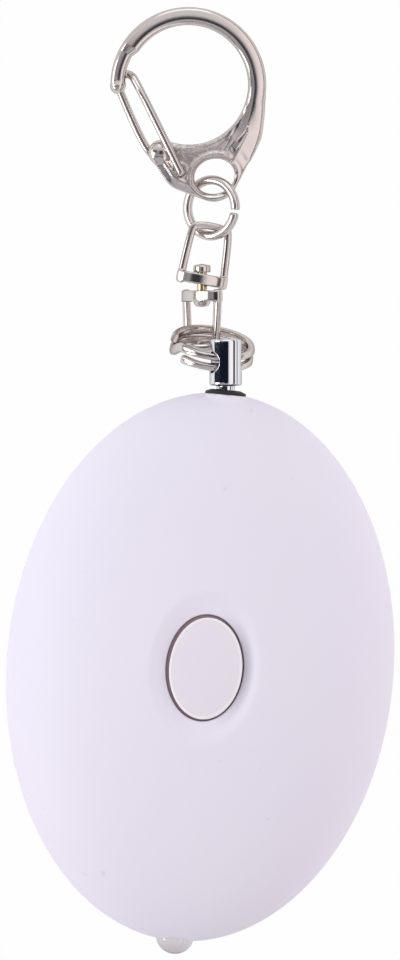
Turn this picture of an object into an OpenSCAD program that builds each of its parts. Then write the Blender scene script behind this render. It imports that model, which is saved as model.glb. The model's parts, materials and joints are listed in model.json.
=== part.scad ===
// Personal safety alarm: an oval case with a press button, a lamp at the
// bottom end and a pull pin at the top end, on a split ring, swivel, jump ring
// and clasp. It lies on its flat back, button up, with the pin toward +Y.

/* [Case] */
// Width of the case across the oval
body_w = 50; // [48:0.5:53]
// Length of the case along the oval
body_l = 71; // [69:0.5:75]
// Height of the front half above the seam
front_h = 11.5; // [11:0.1:13]
// Height of the seam above the flat back
seam_z = 11.2; // [11.1:0.1:12]
// How far the rear dome would bulge past the flat back
rear_bulge = 1.4; // [1.3:0.1:1.8]
// Thickness of the case walls
wall = 1.8; // [1.6:0.1:2]
// Gap between a tongue, a sleeve or a lid and the edge it sits in
seat_gap = 0.1; // [0.06:0.02:0.16]

/* [Button] */
// Width of the button face
button_w = 9.4; // [8.6:0.1:10]
// Length of the button face
button_l = 13.1; // [12:0.1:14]
// Gap round the button
button_gap = 0.33; // [0.25:0.02:0.45]
// How far the button can be pressed
button_travel = 0.4; // [0.3:0.05:0.5]
// How far the middle of the button stands above its rim
button_crown = 0.4; // [0.3:0.05:0.6]
// Width of the dish round the button
dish_w = 14.2; // [13.6:0.1:15.5]
// Length of the dish round the button
dish_l = 19.4; // [18.6:0.1:21]
// Fall of the dish from its edge to the button hole
dish_drop = 0.52; // [0.4:0.02:0.6]

/* [Lamp] */
// Diameter of the lamp
led_d = 5; // [4.6:0.1:5.2]
// How far the lamp's tip stands past the end of the case
led_proud = 1.75; // [1.4:0.05:2.1]
// Length of the lamp from tip to flange
led_l = 8.6; // [8:0.1:9]

/* [Pull pin] */
// Lean of the pin from the long axis of the case
pin_lean = 5.3; // [4:0.1:6]
// Diameter of the pin stem
stem_d = 2.4; // [2.2:0.05:2.5]
// Length of the stem inside the case
stem_l = 17; // [15:0.5:18]
// Radial gap between the stem and its socket
pin_fit = 0.1; // [0.06:0.02:0.1]
// Diameter of the pin head
head_d = 4.2; // [4:0.05:4.5]
// Length of the pin head
head_l = 6; // [5.6:0.1:6.6]
// Bare neck between the washer and the head
neck_gap = 0.57; // [0.4:0.05:0.8]
// Diameter of the cross hole through the head
hole_d = 2.7; // [2.66:0.02:2.8]
// Diameter of the washer
washer_d = 5.3; // [5.1:0.1:5.6]
// Thickness of the washer
washer_t = 0.65; // [0.5:0.05:0.8]

/* [Split ring] */
// Outer diameter of the split ring
ring_od = 11; // [10.6:0.1:12]
// Wire of the split ring
ring_wire = 1; // [0.9:0.02:1]
// Space between the two turns
ring_gap = 0.43; // [0.42:0.005:0.45]
// Turn of the ring about the pin
ring_turn = 20; // [15:1:24]
// Lean of the ring away from the case
ring_tilt = 22; // [18:1:26]

/* [Swivel] */
// Wire of the stirrups
link_wire = 1; // [0.9:0.02:1.04]
// Width of a stirrup at its plate
link_w = 6.6; // [6.2:0.1:6.8]
// Width of a stirrup at its far end
link_top_w = 5.7; // [5.5:0.1:6]
// Length of a stirrup from plate to far bar
link_l = 7; // [6.6:0.1:7.6]
// Thickness of a stirrup plate
plate_t = 1.4; // [1.2:0.05:1.6]
// Depth of a stirrup plate
plate_d = 3.2; // [2.8:0.1:3.4]
// Space between the two plates
plate_gap = 0.75; // [0.7:0.05:1]
// Diameter of the rivet shaft
rivet_d = 1.3; // [1.2:0.05:1.4]
// Lean of the upper stirrup on the loose rivet
link_lean = 10; // [6:1:11]

/* [Jump ring] */
// Outer diameter of the jump ring
jump_od = 8.45; // [8.3:0.05:9]
// Wire of the jump ring
jump_wire = 1.2; // [1.1:0.02:1.24]
// Width of the cut in the jump ring
jump_cut = 0.45; // [0.3:0.05:0.6]
// Turn of the jump ring out of the plane of the clasp
jump_turn = 35; // [34:1:37]

/* [Clasp] */
// Inner radius of the clasp opening
clasp_r = 7.7; // [7.5:0.1:8.2]
// Width of the clasp rod
rod_w = 2.4; // [2.2:0.05:2.6]
// Thickness of the clasp rod
rod_t = 3; // [2.8:0.1:3.2]
// Thickness of the web round the eye
web_t = 1.6; // [1.4:0.05:1.7]
// Width of the eye
eye_w = 6; // [5.8:0.1:6.2]
// Height of the eye
eye_l = 4.6; // [4.4:0.1:4.8]
// Wire of the gate
gate_wire = 0.95; // [0.85:0.01:0.97]
// Radial gap between the gate and its pivot hole
gate_fit = 0.06; // [0.04:0.01:0.09]

/* [Inside] */
// Thickness of the circuit board
board_t = 1; // [0.8:0.05:1]
// Diameter of a coin cell
cell_d = 20; // [19.6:0.1:20]
// Thickness of a coin cell
cell_h = 3.2; // [3:0.05:3.2]
// Diameter of the sounder disc
siren_d = 19; // [17:0.5:19.5]
// Diameter of the sound holes
sound_hole_d = 1.6; // [1.2:0.1:1.8]
// Space between the sound holes
sound_pitch = 3; // [2.6:0.1:3.2]
// Diameter of the case screws
screw_d = 2; // [1.8:0.1:2.2]
// Length of the case screws under the head
screw_l = 9; // [8:0.5:9.5]
// Diameter of the battery door
door_d = 21; // [20.9:0.1:21.2]
// Thickness of the battery door
door_t = 1.4; // [1.2:0.05:1.4]
// Diameter of the boost coil
coil_d = 7; // [6:0.2:8]
// Diameter of the capacitor
cap_d = 5; // [4:0.2:5]

/* [Hidden] */
$fn = 96;
a = body_w / 2;
b = body_l / 2;
rear_h = seam_z + rear_bulge;
big = 200;

// button and dish
hole_w = button_w + 2 * button_gap;
hole_l = button_l + 2 * button_gap;
dish_a = dish_w * 0.6;
dish_b = dish_l * 0.6;
dish_edge_z = seam_z + front_h * sqrt(1 - pow(dish_w / body_w, 2));
dish_edge_k = sqrt(1 - pow(dish_w / 2 / dish_a, 2));
dish_rim_k = sqrt(1 - pow(hole_w / 2 / dish_a, 2));
dish_c = dish_drop / (dish_rim_k - dish_edge_k);
dish_z = dish_edge_z + dish_c * dish_edge_k;
rim_z = dish_edge_z - dish_drop;
button_top = rim_z + 0.35 + button_crown;
crown_c = button_crown / (1 - sqrt(1 - pow(0.625, 2)));
collar_z = seam_z + front_h - wall - 2.4;
collar_rim = 1.1;
collar_top = rim_z - 0.5;
flange_t = 0.9;
flange_rim = 0.95;
press_gap = 0.05;

// board and what sits under it
socket_floor = 0.3;
board_top = seam_z - stem_d / 2 - pin_fit - socket_floor;
board_z = board_top - board_t;
board_a = a - 3.8;
board_b = b - 5.5;
board_low = 8.5 - b;
board_high = b - 9.5;
cell_top = board_z - 0.3;
cell_skin = 0.02;
holder_r = cell_d / 2 + 0.15;
holder_t = 1.2;
holder_z = wall + 1;
lug_r = door_d / 2 + 0.9;
lug_in = door_d / 2 - 0.4;
lug_half = 14;
ring_in = 2.5;
ring_out = 7;
ring_rise = 0.2;
contact_t = 0.22;
coin_slot = [11, 1.6, 0.7];
siren_rim = 0.6;
siren_lip = 1;
siren_step = 0.5;
siren_h = 2;
siren_z = board_z - siren_h;
siren_t = 0.2;

// the sounder and the cells lie end to end in the rear half and share the spare room
function rear_reach(z) = (b - wall) * sqrt(1 - pow((seam_z - z) / (rear_h - wall), 2));
siren_r = siren_d / 2 + siren_rim;
cells_r = holder_r + holder_t;
stack_gap = 0.75;
spare = rear_reach(siren_z) + rear_reach(holder_z) - 2 * siren_r - 2 * cells_r - stack_gap;
spare_share = 0.274;
siren_y = siren_r - rear_reach(siren_z) + spare_share * spare;
cell_y = siren_y + siren_r + stack_gap + cells_r;

// case screws
seat_z = 5.4;
head_screw_d = screw_d * 1.8;
head_screw_h = 1.6;
boss_d = head_screw_d + 2;
upper_screw = [a - 11, b - 18.5];
lower_screw = [siren_r + boss_d / 2 + 0.6, 16 - b];
screw_at = [for (s = [upper_screw, lower_screw]) for (m = [1, -1]) [m * s.x, s.y]];

// pieces on the board
coil_at = [-11, -6];
coil_h = 5;
coil_rim = 1;
wire_gap = 0.05;
transistor_at = [10, -7];
driver_at = [0, -13];
cap_at = [12, 5];
chip = [2, 1.2, 0.6];
chips_at = [[-8, 4], [-8, 6.5], [-12, 5], [6, -13], [-6, -16]];

// switch
switch_w = 6;
switch_h = 3.5;
plunger_d = 3.4;
plunger_up = 1.3;
plunger_top = board_top + switch_h + plunger_up;

// pin and washer
seat_y = b - 0.25;
mouth_r = stem_d / 2 + 0.25;
sleeve_r = mouth_r + 0.55;
sleeve_l = 1.65;
boss_r = washer_d / 2 + 0.25;
head_v = washer_t - 0.25 + neck_gap;
cross_v = head_v + head_l / 2;
socket_v = 8.5;
socket_l = 11;
socket_w = 8;
socket_up = stem_d / 2 + 1.4;
leaf_t = 0.25;
leaf_gap = 0.05;

// lamp
led_z = seam_z - 1.1;
led_y = -b - led_proud + led_d / 2;
led_flange_d = led_d + 0.8;
led_flange_t = 1;
led_back = -b - led_proud + led_l;
led_hole_r = led_d / 2 + 0.2;
leg = 0.5;
leg_x = 1.27;
leg_end = led_back + 3;

// vectors of the chain, in a frame at the pin's mouth, height from the back
function unit(p) = p / norm(p);
function turn_x(p, g) = [p.x, p.y * cos(g) - p.z * sin(g), p.y * sin(g) + p.z * cos(g)];
function turn_y(p, g) = [p.x * cos(g) + p.z * sin(g), p.y, p.z * cos(g) - p.x * sin(g)];

ring_r = (ring_od - ring_wire) / 2;
ring_step = ring_wire + ring_gap;
ring_sag = ring_r - sqrt(pow(ring_r, 2) - pow(head_d / 2, 2));
ring_up = turn_y(turn_x([0, 1, 0], 90 + ring_tilt), ring_turn);
cross_at = [0, cross_v, seam_z];
ring_at = cross_at - (ring_r - ring_sag / 2) * ring_up;
// the lower stirrup sits a little to the right on the ring
strand_slip = 0.5;
strand_at = ring_at - ring_r * ring_up + [strand_slip, 0, 0];
link_roll = 47;
link_axis = [0, 1, 0];
bar_drop = ring_step / 2 + ring_wire / 2 + link_wire / 2 + 0.27;
lower_at = strand_at - [0, bar_drop, 0] + link_l * link_axis;
upper_at = lower_at + (plate_t + plate_gap) * link_axis;
upper_axis = [sin(link_lean), cos(link_lean), 0];
upper_roll = 8;
arch_at = upper_at + link_l * upper_axis;
jump_r = (jump_od - jump_wire) / 2;
jump_at = arch_at + [0, jump_r - (link_wire + jump_wire) / 2 - 0.15, 0];
eye_strand = jump_at + [0, jump_r, 0];

// clasp outline, from the middle of its opening
rod_r = clasp_r + rod_w / 2;
eye_x = 0.44 * clasp_r;
eye_y = -1.535 * clasp_r;
eye_lean = 16;
eye_ease = 0.6;
web_r = 3.2;
// the web bulges on the right, below the rod, and at its lower left
hip_r = 2.2;
hip_reach = clasp_r * 1.53;
heel_r = 2.5;
heel_x = -0.088 * clasp_r;
heel_y = -1.448 * clasp_r;
lug_x = -0.42 * clasp_r;
lug_y = -1.17 * clasp_r;
lug_knob = 1.6;
pivot_x = -0.147 * clasp_r;
pivot_y = -1.44 * clasp_r;
tip_w = rod_w - 0.5;
tip_t = rod_t - 0.6;
tip_r = clasp_r + rod_w - tip_w / 2;
clasp_at = eye_strand - [eye_x - 0.4, eye_y - 0.48, 0];
gate_side = web_t / 2 + gate_wire / 2 + 0.25;
gate_back = tip_t / 2 + gate_wire / 2 + 0.13;
tip_in = tip_r - tip_w / 2;

// ellipsoid with its poles up and down
module oval_ball(ra, rb, rc) {
    scale([ra / rc, rb / rc, 1]) sphere(r = rc);
}

// upright oval column
module oval_column(w, l, h) {
    linear_extrude(height = h) scale([1, l / w]) circle(d = w);
}

// everything above the seam
module above_seam() {
    translate([-big / 2, -big / 2, seam_z]) cube([big, big, big / 2]);
}

// everything below the seam
module below_seam() {
    translate([-big / 2, -big / 2, seam_z - big / 2]) cube([big, big, big / 2]);
}

// from the mouth of the pin, leaning with it, height from the seam
module pin_frame() {
    translate([0, b, seam_z]) rotate([0, 0, pin_lean]) children();
}

// from the mouth of the pin, leaning with it, height from the back
module chain_frame() {
    translate([0, b, 0]) rotate([0, 0, pin_lean]) children();
}

// column along +Y from a start
module along_y(start, l, r, z = seam_z) {
    translate([0, start, z]) rotate([-90, 0, 0]) cylinder(r = r, h = l);
}

// boss round the pin hole at the top end, left with the wall
module pin_boss() {
    along_y(b - 4, 4, boss_r);
}

// holes for the washer's sleeve and the lamp, and the washer's flat seat
module end_holes() {
    along_y(b - 8, 10, sleeve_r + seat_gap);
    along_y(-b - 4, 10, led_hole_r, led_z);
    along_y(seat_y, 3, boss_r + 0.3);
}

// round tube along a list of points, side is any direction not along the tube
function tube_dir(p, i) =
    let (last = len(p) - 1)
    unit(p[min(i + 1, last)] - p[max(i - 1, 0)]);
function tube_points(p, r, sides, side) = [
    for (i = [0:len(p) - 1])
    let (t = tube_dir(p, i))
    let (n = unit(cross(side, t)))
    let (m = cross(t, n))
    for (j = [0:sides - 1])
    p[i] + r * (n * cos(360 * j / sides) + m * sin(360 * j / sides))
];
function tube_faces(count, sides) = concat(
    [for (i = [0:count - 2]) for (j = [0:sides - 1])
        [i * sides + j, (i + 1) * sides + (j + 1) % sides, i * sides + (j + 1) % sides]],
    [for (i = [0:count - 2]) for (j = [0:sides - 1])
        [i * sides + j, (i + 1) * sides + j, (i + 1) * sides + (j + 1) % sides]],
    [for (j = [1:sides - 2]) [0, j, j + 1]],
    [for (j = [1:sides - 2])
        [(count - 1) * sides, (count - 1) * sides + j + 1, (count - 1) * sides + j]]
);
module tube(p, r, sides, side) {
    polyhedron(points = tube_points(p, r, sides, side), faces = tube_faces(len(p), sides));
}

// smooth line through a list of points, steps to each span
function smooth_point(q, i, s) =
    let (last = len(q) - 1)
    let (p0 = q[max(i - 1, 0)], p1 = q[i], p2 = q[i + 1], p3 = q[min(i + 2, last)])
    0.5 * (2 * p1 + (p2 - p0) * s + (2 * p0 - 5 * p1 + 4 * p2 - p3) * s * s
        + (3 * p1 - p0 - 3 * p2 + p3) * s * s * s);
function smooth_line(q, steps) = concat(
    [for (i = [0:len(q) - 2]) for (k = [0:steps - 1]) smooth_point(q, i, k / steps)],
    [q[len(q) - 1]]
);

module front_shell() {
    color("lavender")
    difference() {
        union() {
            difference() {
                intersection() {
                    union() {
                        translate([0, 0, seam_z]) oval_ball(a, b, front_h);
                        pin_boss();
                    }
                    above_seam();
                }
                translate([0, 0, seam_z]) oval_ball(a - wall, b - wall, front_h - wall);
                translate([0, 0, seam_z - 1])
                    oval_column(body_w - wall, body_l - wall, 2.4);
            }
            intersection() {
                for (s = screw_at)
                    translate([s.x, s.y, board_top]) cylinder(d = boss_d - 0.6, h = front_h);
                translate([0, 0, seam_z])
                    oval_ball(a - wall / 2, b - wall / 2, front_h - wall / 2);
            }
            translate([0, 0, collar_z])
                oval_column(hole_w + 2 * collar_rim, hole_l + 2 * collar_rim, collar_top - collar_z);
        }
        translate([0, 0, collar_z - 1]) oval_column(hole_w, hole_l, 8);
        translate([0, 0, dish_z]) oval_ball(dish_a, dish_b, dish_c);
        for (s = screw_at)
            translate([s.x, s.y, board_top - 1]) cylinder(d = screw_d + 0.1, h = screw_l - 2);
        end_holes();
    }
}

module rear_shell() {
    color("lavender")
    difference() {
        union() {
            difference() {
                intersection() {
                    union() {
                        translate([0, 0, seam_z]) oval_ball(a, b, rear_h);
                        pin_boss();
                    }
                    below_seam();
                    translate([-big / 2, -big / 2, 0]) cube(big);
                }
                intersection() {
                    translate([0, 0, seam_z]) oval_ball(a - wall, b - wall, rear_h - wall);
                    translate([-big / 2, -big / 2, wall]) cube(big);
                }
            }
            translate([0, 0, seam_z - 0.6])
                difference() {
                    oval_column(body_w - wall - 2 * seat_gap, body_l - wall - 2 * seat_gap, 1.8);
                    translate([0, 0, -1])
                        oval_column(body_w - 2 * wall - 0.3, body_l - 2 * wall - 0.3, 4);
                }
            intersection() {
                for (s = screw_at)
                    translate([s.x, s.y, 0]) cylinder(d = boss_d, h = board_z);
                translate([0, 0, seam_z]) oval_ball(a - wall / 2, b - wall / 2, rear_h - wall / 2);
            }
        }
        for (s = screw_at) {
            translate([s.x, s.y, -1]) cylinder(d = head_screw_d + 0.4, h = seat_z + 1);
            translate([s.x, s.y, -1]) cylinder(d = screw_d + 0.4, h = board_z + 3);
        }
        translate([0, cell_y, -1]) cylinder(r = door_d / 2 + 2 * seat_gap, h = wall + 2);
        translate([0, cell_y, wall]) cylinder(r = lug_r + 0.3, h = 1.3);
        for (g = [60, 240])
            translate([0, cell_y, -1])
                rotate([0, 0, g - lug_half - 3])
                    rotate_extrude(angle = 2 * lug_half + 6)
                        translate([lug_in - 1, 0]) square([lug_r + 1.2 - lug_in, wall + 2]);
        for (g = [0:60:300])
            translate([sound_pitch * cos(g), siren_y + 3 + sound_pitch * sin(g), -1])
                cylinder(d = sound_hole_d, h = seam_z);
        translate([0, siren_y + 3, -1]) cylinder(d = sound_hole_d, h = seam_z);
        end_holes();
    }
}

module battery_door() {
    color("lavender")
    translate([0, cell_y, 0])
    difference() {
        union() {
            cylinder(d = door_d, h = door_t);
            for (g = [0, 180])
                rotate([0, 0, g - lug_half])
                    rotate_extrude(angle = 2 * lug_half)
                        polygon([
                            [lug_in, door_t - 0.4], [door_d / 2 - 0.1, door_t - 0.4],
                            [door_d / 2 - 0.1, wall + 0.1], [lug_r, wall + 0.1],
                            [lug_r, wall + 0.8], [lug_in, wall + 0.8]
                        ]);
        }
        translate([-coin_slot.x / 2, -coin_slot.y / 2, -1]) cube(coin_slot + [0, 0, 1]);
    }
}

module door_contact() {
    color("silver")
    translate([0, cell_y, door_t + 0.01])
        rotate_extrude()
            polygon([
                [ring_in, ring_rise], [ring_out, 0], [ring_out, contact_t],
                [ring_in, ring_rise + contact_t]
            ]);
}

module case_screws() {
    color("silver")
    for (s = screw_at)
        translate([s.x, s.y, seat_z])
        difference() {
            union() {
                translate([0, 0, -head_screw_h]) cylinder(d = head_screw_d, h = head_screw_h);
                cylinder(d = screw_d, h = screw_l);
            }
            for (g = [0, 90])
                rotate([0, 0, g])
                    translate([-head_screw_d * 0.32, -0.25, -head_screw_h - 1])
                        cube([head_screw_d * 0.64, 0.5, 1.8]);
        }
}

module button() {
    color("white")
    union() {
        intersection() {
            translate([0, 0, button_top - crown_c])
                oval_column(button_w, button_l, crown_c + 1);
            translate([0, 0, button_top - crown_c])
                oval_ball(button_w * 0.8, button_l * 0.8, crown_c);
        }
        translate([0, 0, collar_z - press_gap - flange_t])
            oval_column(button_w, button_l, button_top - crown_c - collar_z + press_gap + flange_t);
        translate([0, 0, collar_z - press_gap - flange_t])
            oval_column(hole_w + 2 * flange_rim, hole_l + 2 * flange_rim, flange_t);
        translate([0, 0, plunger_top + press_gap])
            cylinder(d = plunger_d - 0.4, h = collar_z - plunger_top - flange_t);
    }
}

module circuit_board() {
    color("darkgreen")
    difference() {
        translate([0, 0, board_z])
            intersection() {
                oval_column(2 * board_a, 2 * board_b, board_t);
                translate([-a, board_low, -1]) cube([2 * a, board_high - board_low, board_t + 2]);
            }
        for (s = screw_at)
            translate([s.x, s.y, board_z - 1]) cylinder(d = screw_d + 0.4, h = board_t + 2);
    }
}

module switch_body() {
    color("dimgray")
    translate([0, 0, board_top])
    difference() {
        translate([-switch_w / 2, -switch_w / 2, 0]) cube([switch_w, switch_w, switch_h]);
        translate([0, 0, switch_h - 1.5]) cylinder(d = plunger_d + 0.2, h = 3);
    }
}

module switch_plunger() {
    color("black")
    translate([0, 0, plunger_top - plunger_up - 1 + button_travel / 2])
        cylinder(d = plunger_d, h = plunger_up + 1 - button_travel / 2);
}

module pin_grommet() {
    color("black")
    translate([0, seat_y, seam_z])
        rotate([-90, 0, 0])
            rotate_extrude()
                polygon([
                    [mouth_r, -sleeve_l], [sleeve_r, -sleeve_l], [sleeve_r, 0],
                    [washer_d / 2, 0], [washer_d / 2, washer_t], [mouth_r, washer_t]
                ]);
}

module pin_socket() {
    color("dimgray")
    pin_frame()
    difference() {
        translate([-socket_w / 2, -socket_v - socket_l, board_top - seam_z])
            cube([socket_w, socket_l, seam_z - board_top + socket_up]);
        translate([0, -socket_v - socket_l - 1, 0])
            rotate([-90, 0, 0]) cylinder(r = stem_d / 2 + pin_fit, h = socket_l + 2);
        translate([-stem_d / 2 - 0.9, -socket_v - socket_l + 2, -stem_d / 2 + 0.2])
            cube([stem_d + 1.8, socket_l - 4, socket_up + stem_d]);
    }
}

module socket_leaves() {
    color("goldenrod")
    pin_frame()
    for (s = [0, 1])
        mirror([s, 0, 0])
            translate([0, -socket_v - socket_l + 2.6, 0]) {
                translate([stem_d / 2 + leaf_gap, 0, -stem_d / 2 + 0.4])
                    cube([leaf_t, socket_l - 5.2, socket_up + stem_d / 2 - 0.4 + leaf_t]);
                translate([stem_d / 2 + leaf_gap, 0, socket_up])
                    cube([2, socket_l - 5.2, leaf_t]);
            }
}

// bent legs of the lamp with the post and cup inside its lens
module leg_shape() {
    for (s = [-1, 1])
        translate([s * leg_x - leg / 2, 0, 0]) {
            translate([0, led_y + 1.2, led_z - leg / 2])
                cube([leg, leg_end - led_y - 1.2, leg]);
            translate([0, leg_end - leg, board_top])
                cube([leg, leg, led_z + leg / 2 - board_top]);
        }
    translate([-leg_x - leg / 2, led_y + 0.6, led_z - 0.6]) cube([leg_x + leg, 1.4, 1.2]);
    translate([leg_x - 0.5, led_y + 0.8, led_z - 0.4]) cube([0.75, 0.9, 0.8]);
}

module led_lens() {
    color("whitesmoke")
    difference() {
        union() {
            translate([0, led_y, led_z]) rotate([90, 0, 0]) rotate_extrude()
                intersection() {
                    circle(d = led_d);
                    square(led_d);
                }
            along_y(led_y, led_back - led_y, led_d / 2, led_z);
            along_y(led_back - led_flange_t, led_flange_t, led_flange_d / 2, led_z);
        }
        leg_shape();
    }
}

module led_legs() {
    color("silver")
    leg_shape();
}

module siren_ring() {
    color("dimgray")
    translate([0, siren_y, siren_z])
        rotate_extrude()
            polygon([
                [siren_d / 2 - siren_lip, siren_step], [siren_d / 2 + seat_gap, siren_step],
                [siren_d / 2 + seat_gap, 0], [siren_r, 0], [siren_r, siren_h],
                [siren_d / 2 - siren_lip, siren_h]
            ]);
}

module siren_disc() {
    color("goldenrod")
    translate([0, siren_y, siren_z + 0.28]) cylinder(d = siren_d, h = siren_t);
}

module siren_ceramic() {
    color("whitesmoke")
    translate([0, siren_y, siren_z + 0.28 + siren_t + 0.01]) cylinder(d = siren_d * 0.7, h = siren_t);
}

module siren_wires() {
    color("red")
    union() {
        translate([2, siren_y, siren_z + 0.3 + 2 * siren_t])
            cylinder(d = 0.6, h = board_z - siren_z - 0.3 - 2 * siren_t);
        translate([siren_d * 0.35 + 1, siren_y, siren_z + 0.3 + siren_t])
            cylinder(d = 0.6, h = board_z - siren_z - 0.3 - siren_t);
    }
}

module cell_holder() {
    color("dimgray")
    translate([0, cell_y, holder_z])
    difference() {
        cylinder(r = holder_r + holder_t, h = board_z - holder_z);
        translate([0, 0, -1]) cylinder(r = holder_r, h = board_z);
    }
}

module coin_cells() {
    color("silver")
    for (k = [1, 2])
        translate([0, cell_y, cell_top - k * cell_h - (k - 1) * cell_skin])
            rotate_extrude()
                polygon([
                    [0, 0], [cell_d * 0.43, 0], [cell_d * 0.45, 0.3], [cell_d / 2, 0.3],
                    [cell_d / 2, cell_h - 0.2], [cell_d / 2 - 0.2, cell_h], [0, cell_h]
                ]);
}

module cell_contact() {
    color("goldenrod")
    translate([0, cell_y, cell_top + 0.02]) cylinder(d = cell_d * 0.5, h = board_z - cell_top - 0.02);
}

module coil_core() {
    color("dimgray")
    translate([coil_at.x, coil_at.y, board_top])
        rotate_extrude()
            polygon([
                [0, 0], [coil_d / 2, 0], [coil_d / 2, coil_rim], [coil_d / 4, coil_rim],
                [coil_d / 4, coil_h - coil_rim], [coil_d / 2, coil_h - coil_rim],
                [coil_d / 2, coil_h], [0, coil_h]
            ]);
}

module coil_winding() {
    color("orangered")
    translate([coil_at.x, coil_at.y, board_top + coil_rim + wire_gap])
    difference() {
        cylinder(d = coil_d - 0.5, h = coil_h - 2 * coil_rim - 2 * wire_gap);
        translate([0, 0, -1]) cylinder(d = coil_d / 2 + 2 * wire_gap, h = coil_h);
    }
}

module transistor() {
    color("black")
    translate([transistor_at.x, transistor_at.y, board_top])
    union() {
        for (x = [-1.27, 0, 1.27])
            translate([x - 0.2, -0.2, 0]) cube([0.4, 0.4, 2.5]);
        translate([0, 0, 1.8])
            linear_extrude(height = 4)
                intersection() {
                    circle(d = 4.6);
                    translate([-3, -1.2]) square([6, 4]);
                }
    }
}

module driver_chip() {
    color("black")
    translate([driver_at.x, driver_at.y, board_top])
    union() {
        translate([-2.5, -2, 0.15]) cube([5, 4, 1.4]);
        for (x = [-1.9, -0.635, 0.635, 1.9])
            translate([x - 0.2, -3, 0]) cube([0.4, 6, 0.3]);
    }
}

module capacitor() {
    color("darkslategray")
    translate([cap_at.x, cap_at.y, board_top])
        rotate_extrude()
            polygon([
                [0, 0], [cap_d / 2, 0], [cap_d / 2, 0.8], [cap_d / 2 - 0.25, 1.1],
                [cap_d / 2, 1.4], [cap_d / 2, 6.7], [cap_d / 2 - 0.3, 7], [0, 7]
            ]);
}

module small_chips() {
    color("tan")
    for (p = chips_at)
        translate([p.x - chip.x / 2, p.y - chip.y / 2, board_top]) cube(chip);
}

module pull_pin() {
    color("lightgray")
    pin_frame()
    difference() {
        rotate([-90, 0, 0])
            rotate_extrude()
                polygon([
                    [0, -stem_l], [stem_d / 2 - 0.5, -stem_l], [stem_d / 2, -stem_l + 0.7],
                    [stem_d / 2, head_v], [head_d / 2 - 0.35, head_v],
                    [head_d / 2 - 0.1, head_v + 0.1], [head_d / 2, head_v + 0.35],
                    [head_d / 2, head_v + head_l - 0.3],
                    [head_d / 2 - 0.09, head_v + head_l - 0.09],
                    [head_d / 2 - 0.3, head_v + head_l], [0, head_v + head_l]
                ]);
        translate([0, cross_v, 0])
            rotate([0, ring_turn, 0])
                rotate([0, 90, 0]) cylinder(d = hole_d, h = head_d + 2, center = true);
    }
}

// the two flat turns of the split ring with the step between them
ring_start = 142;
ring_sweep = 680;
ring_steps = 68;
function ring_height(s) =
    let (k = min(max((s - 322) / 36, 0), 1))
    ring_step / 2 - ring_step * k * k * (3 - 2 * k);
ring_line = [
    for (i = [0:ring_steps])
    let (s = ring_sweep * i / ring_steps)
    let (g = ring_start - s)
    [ring_r * cos(g), ring_r * sin(g), ring_height(s)]
];
ring_spaces = [
    for (i = [0:ring_steps]) for (j = [0:ring_steps])
    if (j - i > 12) norm(ring_line[i] - ring_line[j]) - ring_wire
];
echo(split_ring_least_gap = min(ring_spaces));

module split_ring() {
    color("silver")
    chain_frame()
        translate(cross_at)
            rotate([0, ring_turn, 0])
                rotate([90 + ring_tilt, 0, 0])
                    translate([0, -ring_r + ring_sag / 2, 0])
                        tube(ring_line, ring_wire / 2, 8, [0, 0, 1]);
}

// wire and plate of a stirrup, plate at the origin and far bar at -Y
module stirrup(bore) {
    half = (link_w - link_wire) / 2;
    top = (link_top_w - link_wire) / 2;
    bend = 0.95;
    leg_line = [
        [half, plate_t * 0.3, 0], [half, -plate_t * 0.5, 0],
        [top + 0.06, -link_l + bend, 0], [top * 0.72, -link_l + bend * 0.2, 0],
        [0, -link_l, 0], [-top * 0.72, -link_l + bend * 0.2, 0],
        [-top - 0.06, -link_l + bend, 0], [-half, -plate_t * 0.5, 0],
        [-half, plate_t * 0.3, 0]
    ];
    difference() {
        union() {
            tube(smooth_line(leg_line, 5), link_wire / 2, 8, [0, 0, 1]);
            translate([0, plate_t / 2, 0])
                rotate([90, 0, 0])
                    linear_extrude(height = plate_t)
                        scale([1, plate_d / (link_w + 0.1)]) circle(d = link_w + 0.1);
        }
        rotate([90, 0, 0]) cylinder(d = bore, h = plate_t + 2, center = true);
    }
}

// frame of the lower stirrup, plate at the origin
module lower_frame() {
    chain_frame()
        translate(lower_at) children();
}

// frame of the upper stirrup, plate at the origin
module upper_frame() {
    chain_frame()
        translate(upper_at)
            rotate([0, 0, -link_lean]) children();
}

module swivel_lower_link() {
    color("silver")
    lower_frame() rotate([0, -link_roll, 0]) stirrup(rivet_d + 0.02);
}

module swivel_rivet() {
    color("khaki")
    lower_frame()
        rotate([-90, 0, 0])
            rotate_extrude()
                polygon([
                    [0, -plate_t / 2 - 0.75], [0.8, -plate_t / 2 - 0.6],
                    [1.15, -plate_t / 2 - 0.05], [rivet_d / 2, -plate_t / 2 - 0.05],
                    [rivet_d / 2, plate_t * 1.5 + plate_gap + 0.4],
                    [1.3, plate_t * 1.5 + plate_gap + 0.4],
                    [1.1, plate_t * 1.5 + plate_gap + 0.95],
                    [0.6, plate_t * 1.5 + plate_gap + 1.25],
                    [0, plate_t * 1.5 + plate_gap + 1.35]
                ]);
}

module swivel_upper_link() {
    color("silver")
    upper_frame() rotate([0, upper_roll, 0]) rotate([0, 0, 180]) stirrup(rivet_d + 0.6);
}

module jump_ring() {
    color("silver")
    chain_frame()
        translate(jump_at)
            rotate([0, -jump_turn, 0])
                rotate([0, 0, -8 + jump_cut / jump_r * 28.65])
                    rotate_extrude(angle = 360 - jump_cut / jump_r * 57.3)
                        translate([jump_r, 0]) circle(d = jump_wire);
}

// frame of the clasp, in the middle of its opening and thickness
module clasp_frame() {
    chain_frame() translate(clasp_at) children();
}

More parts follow.
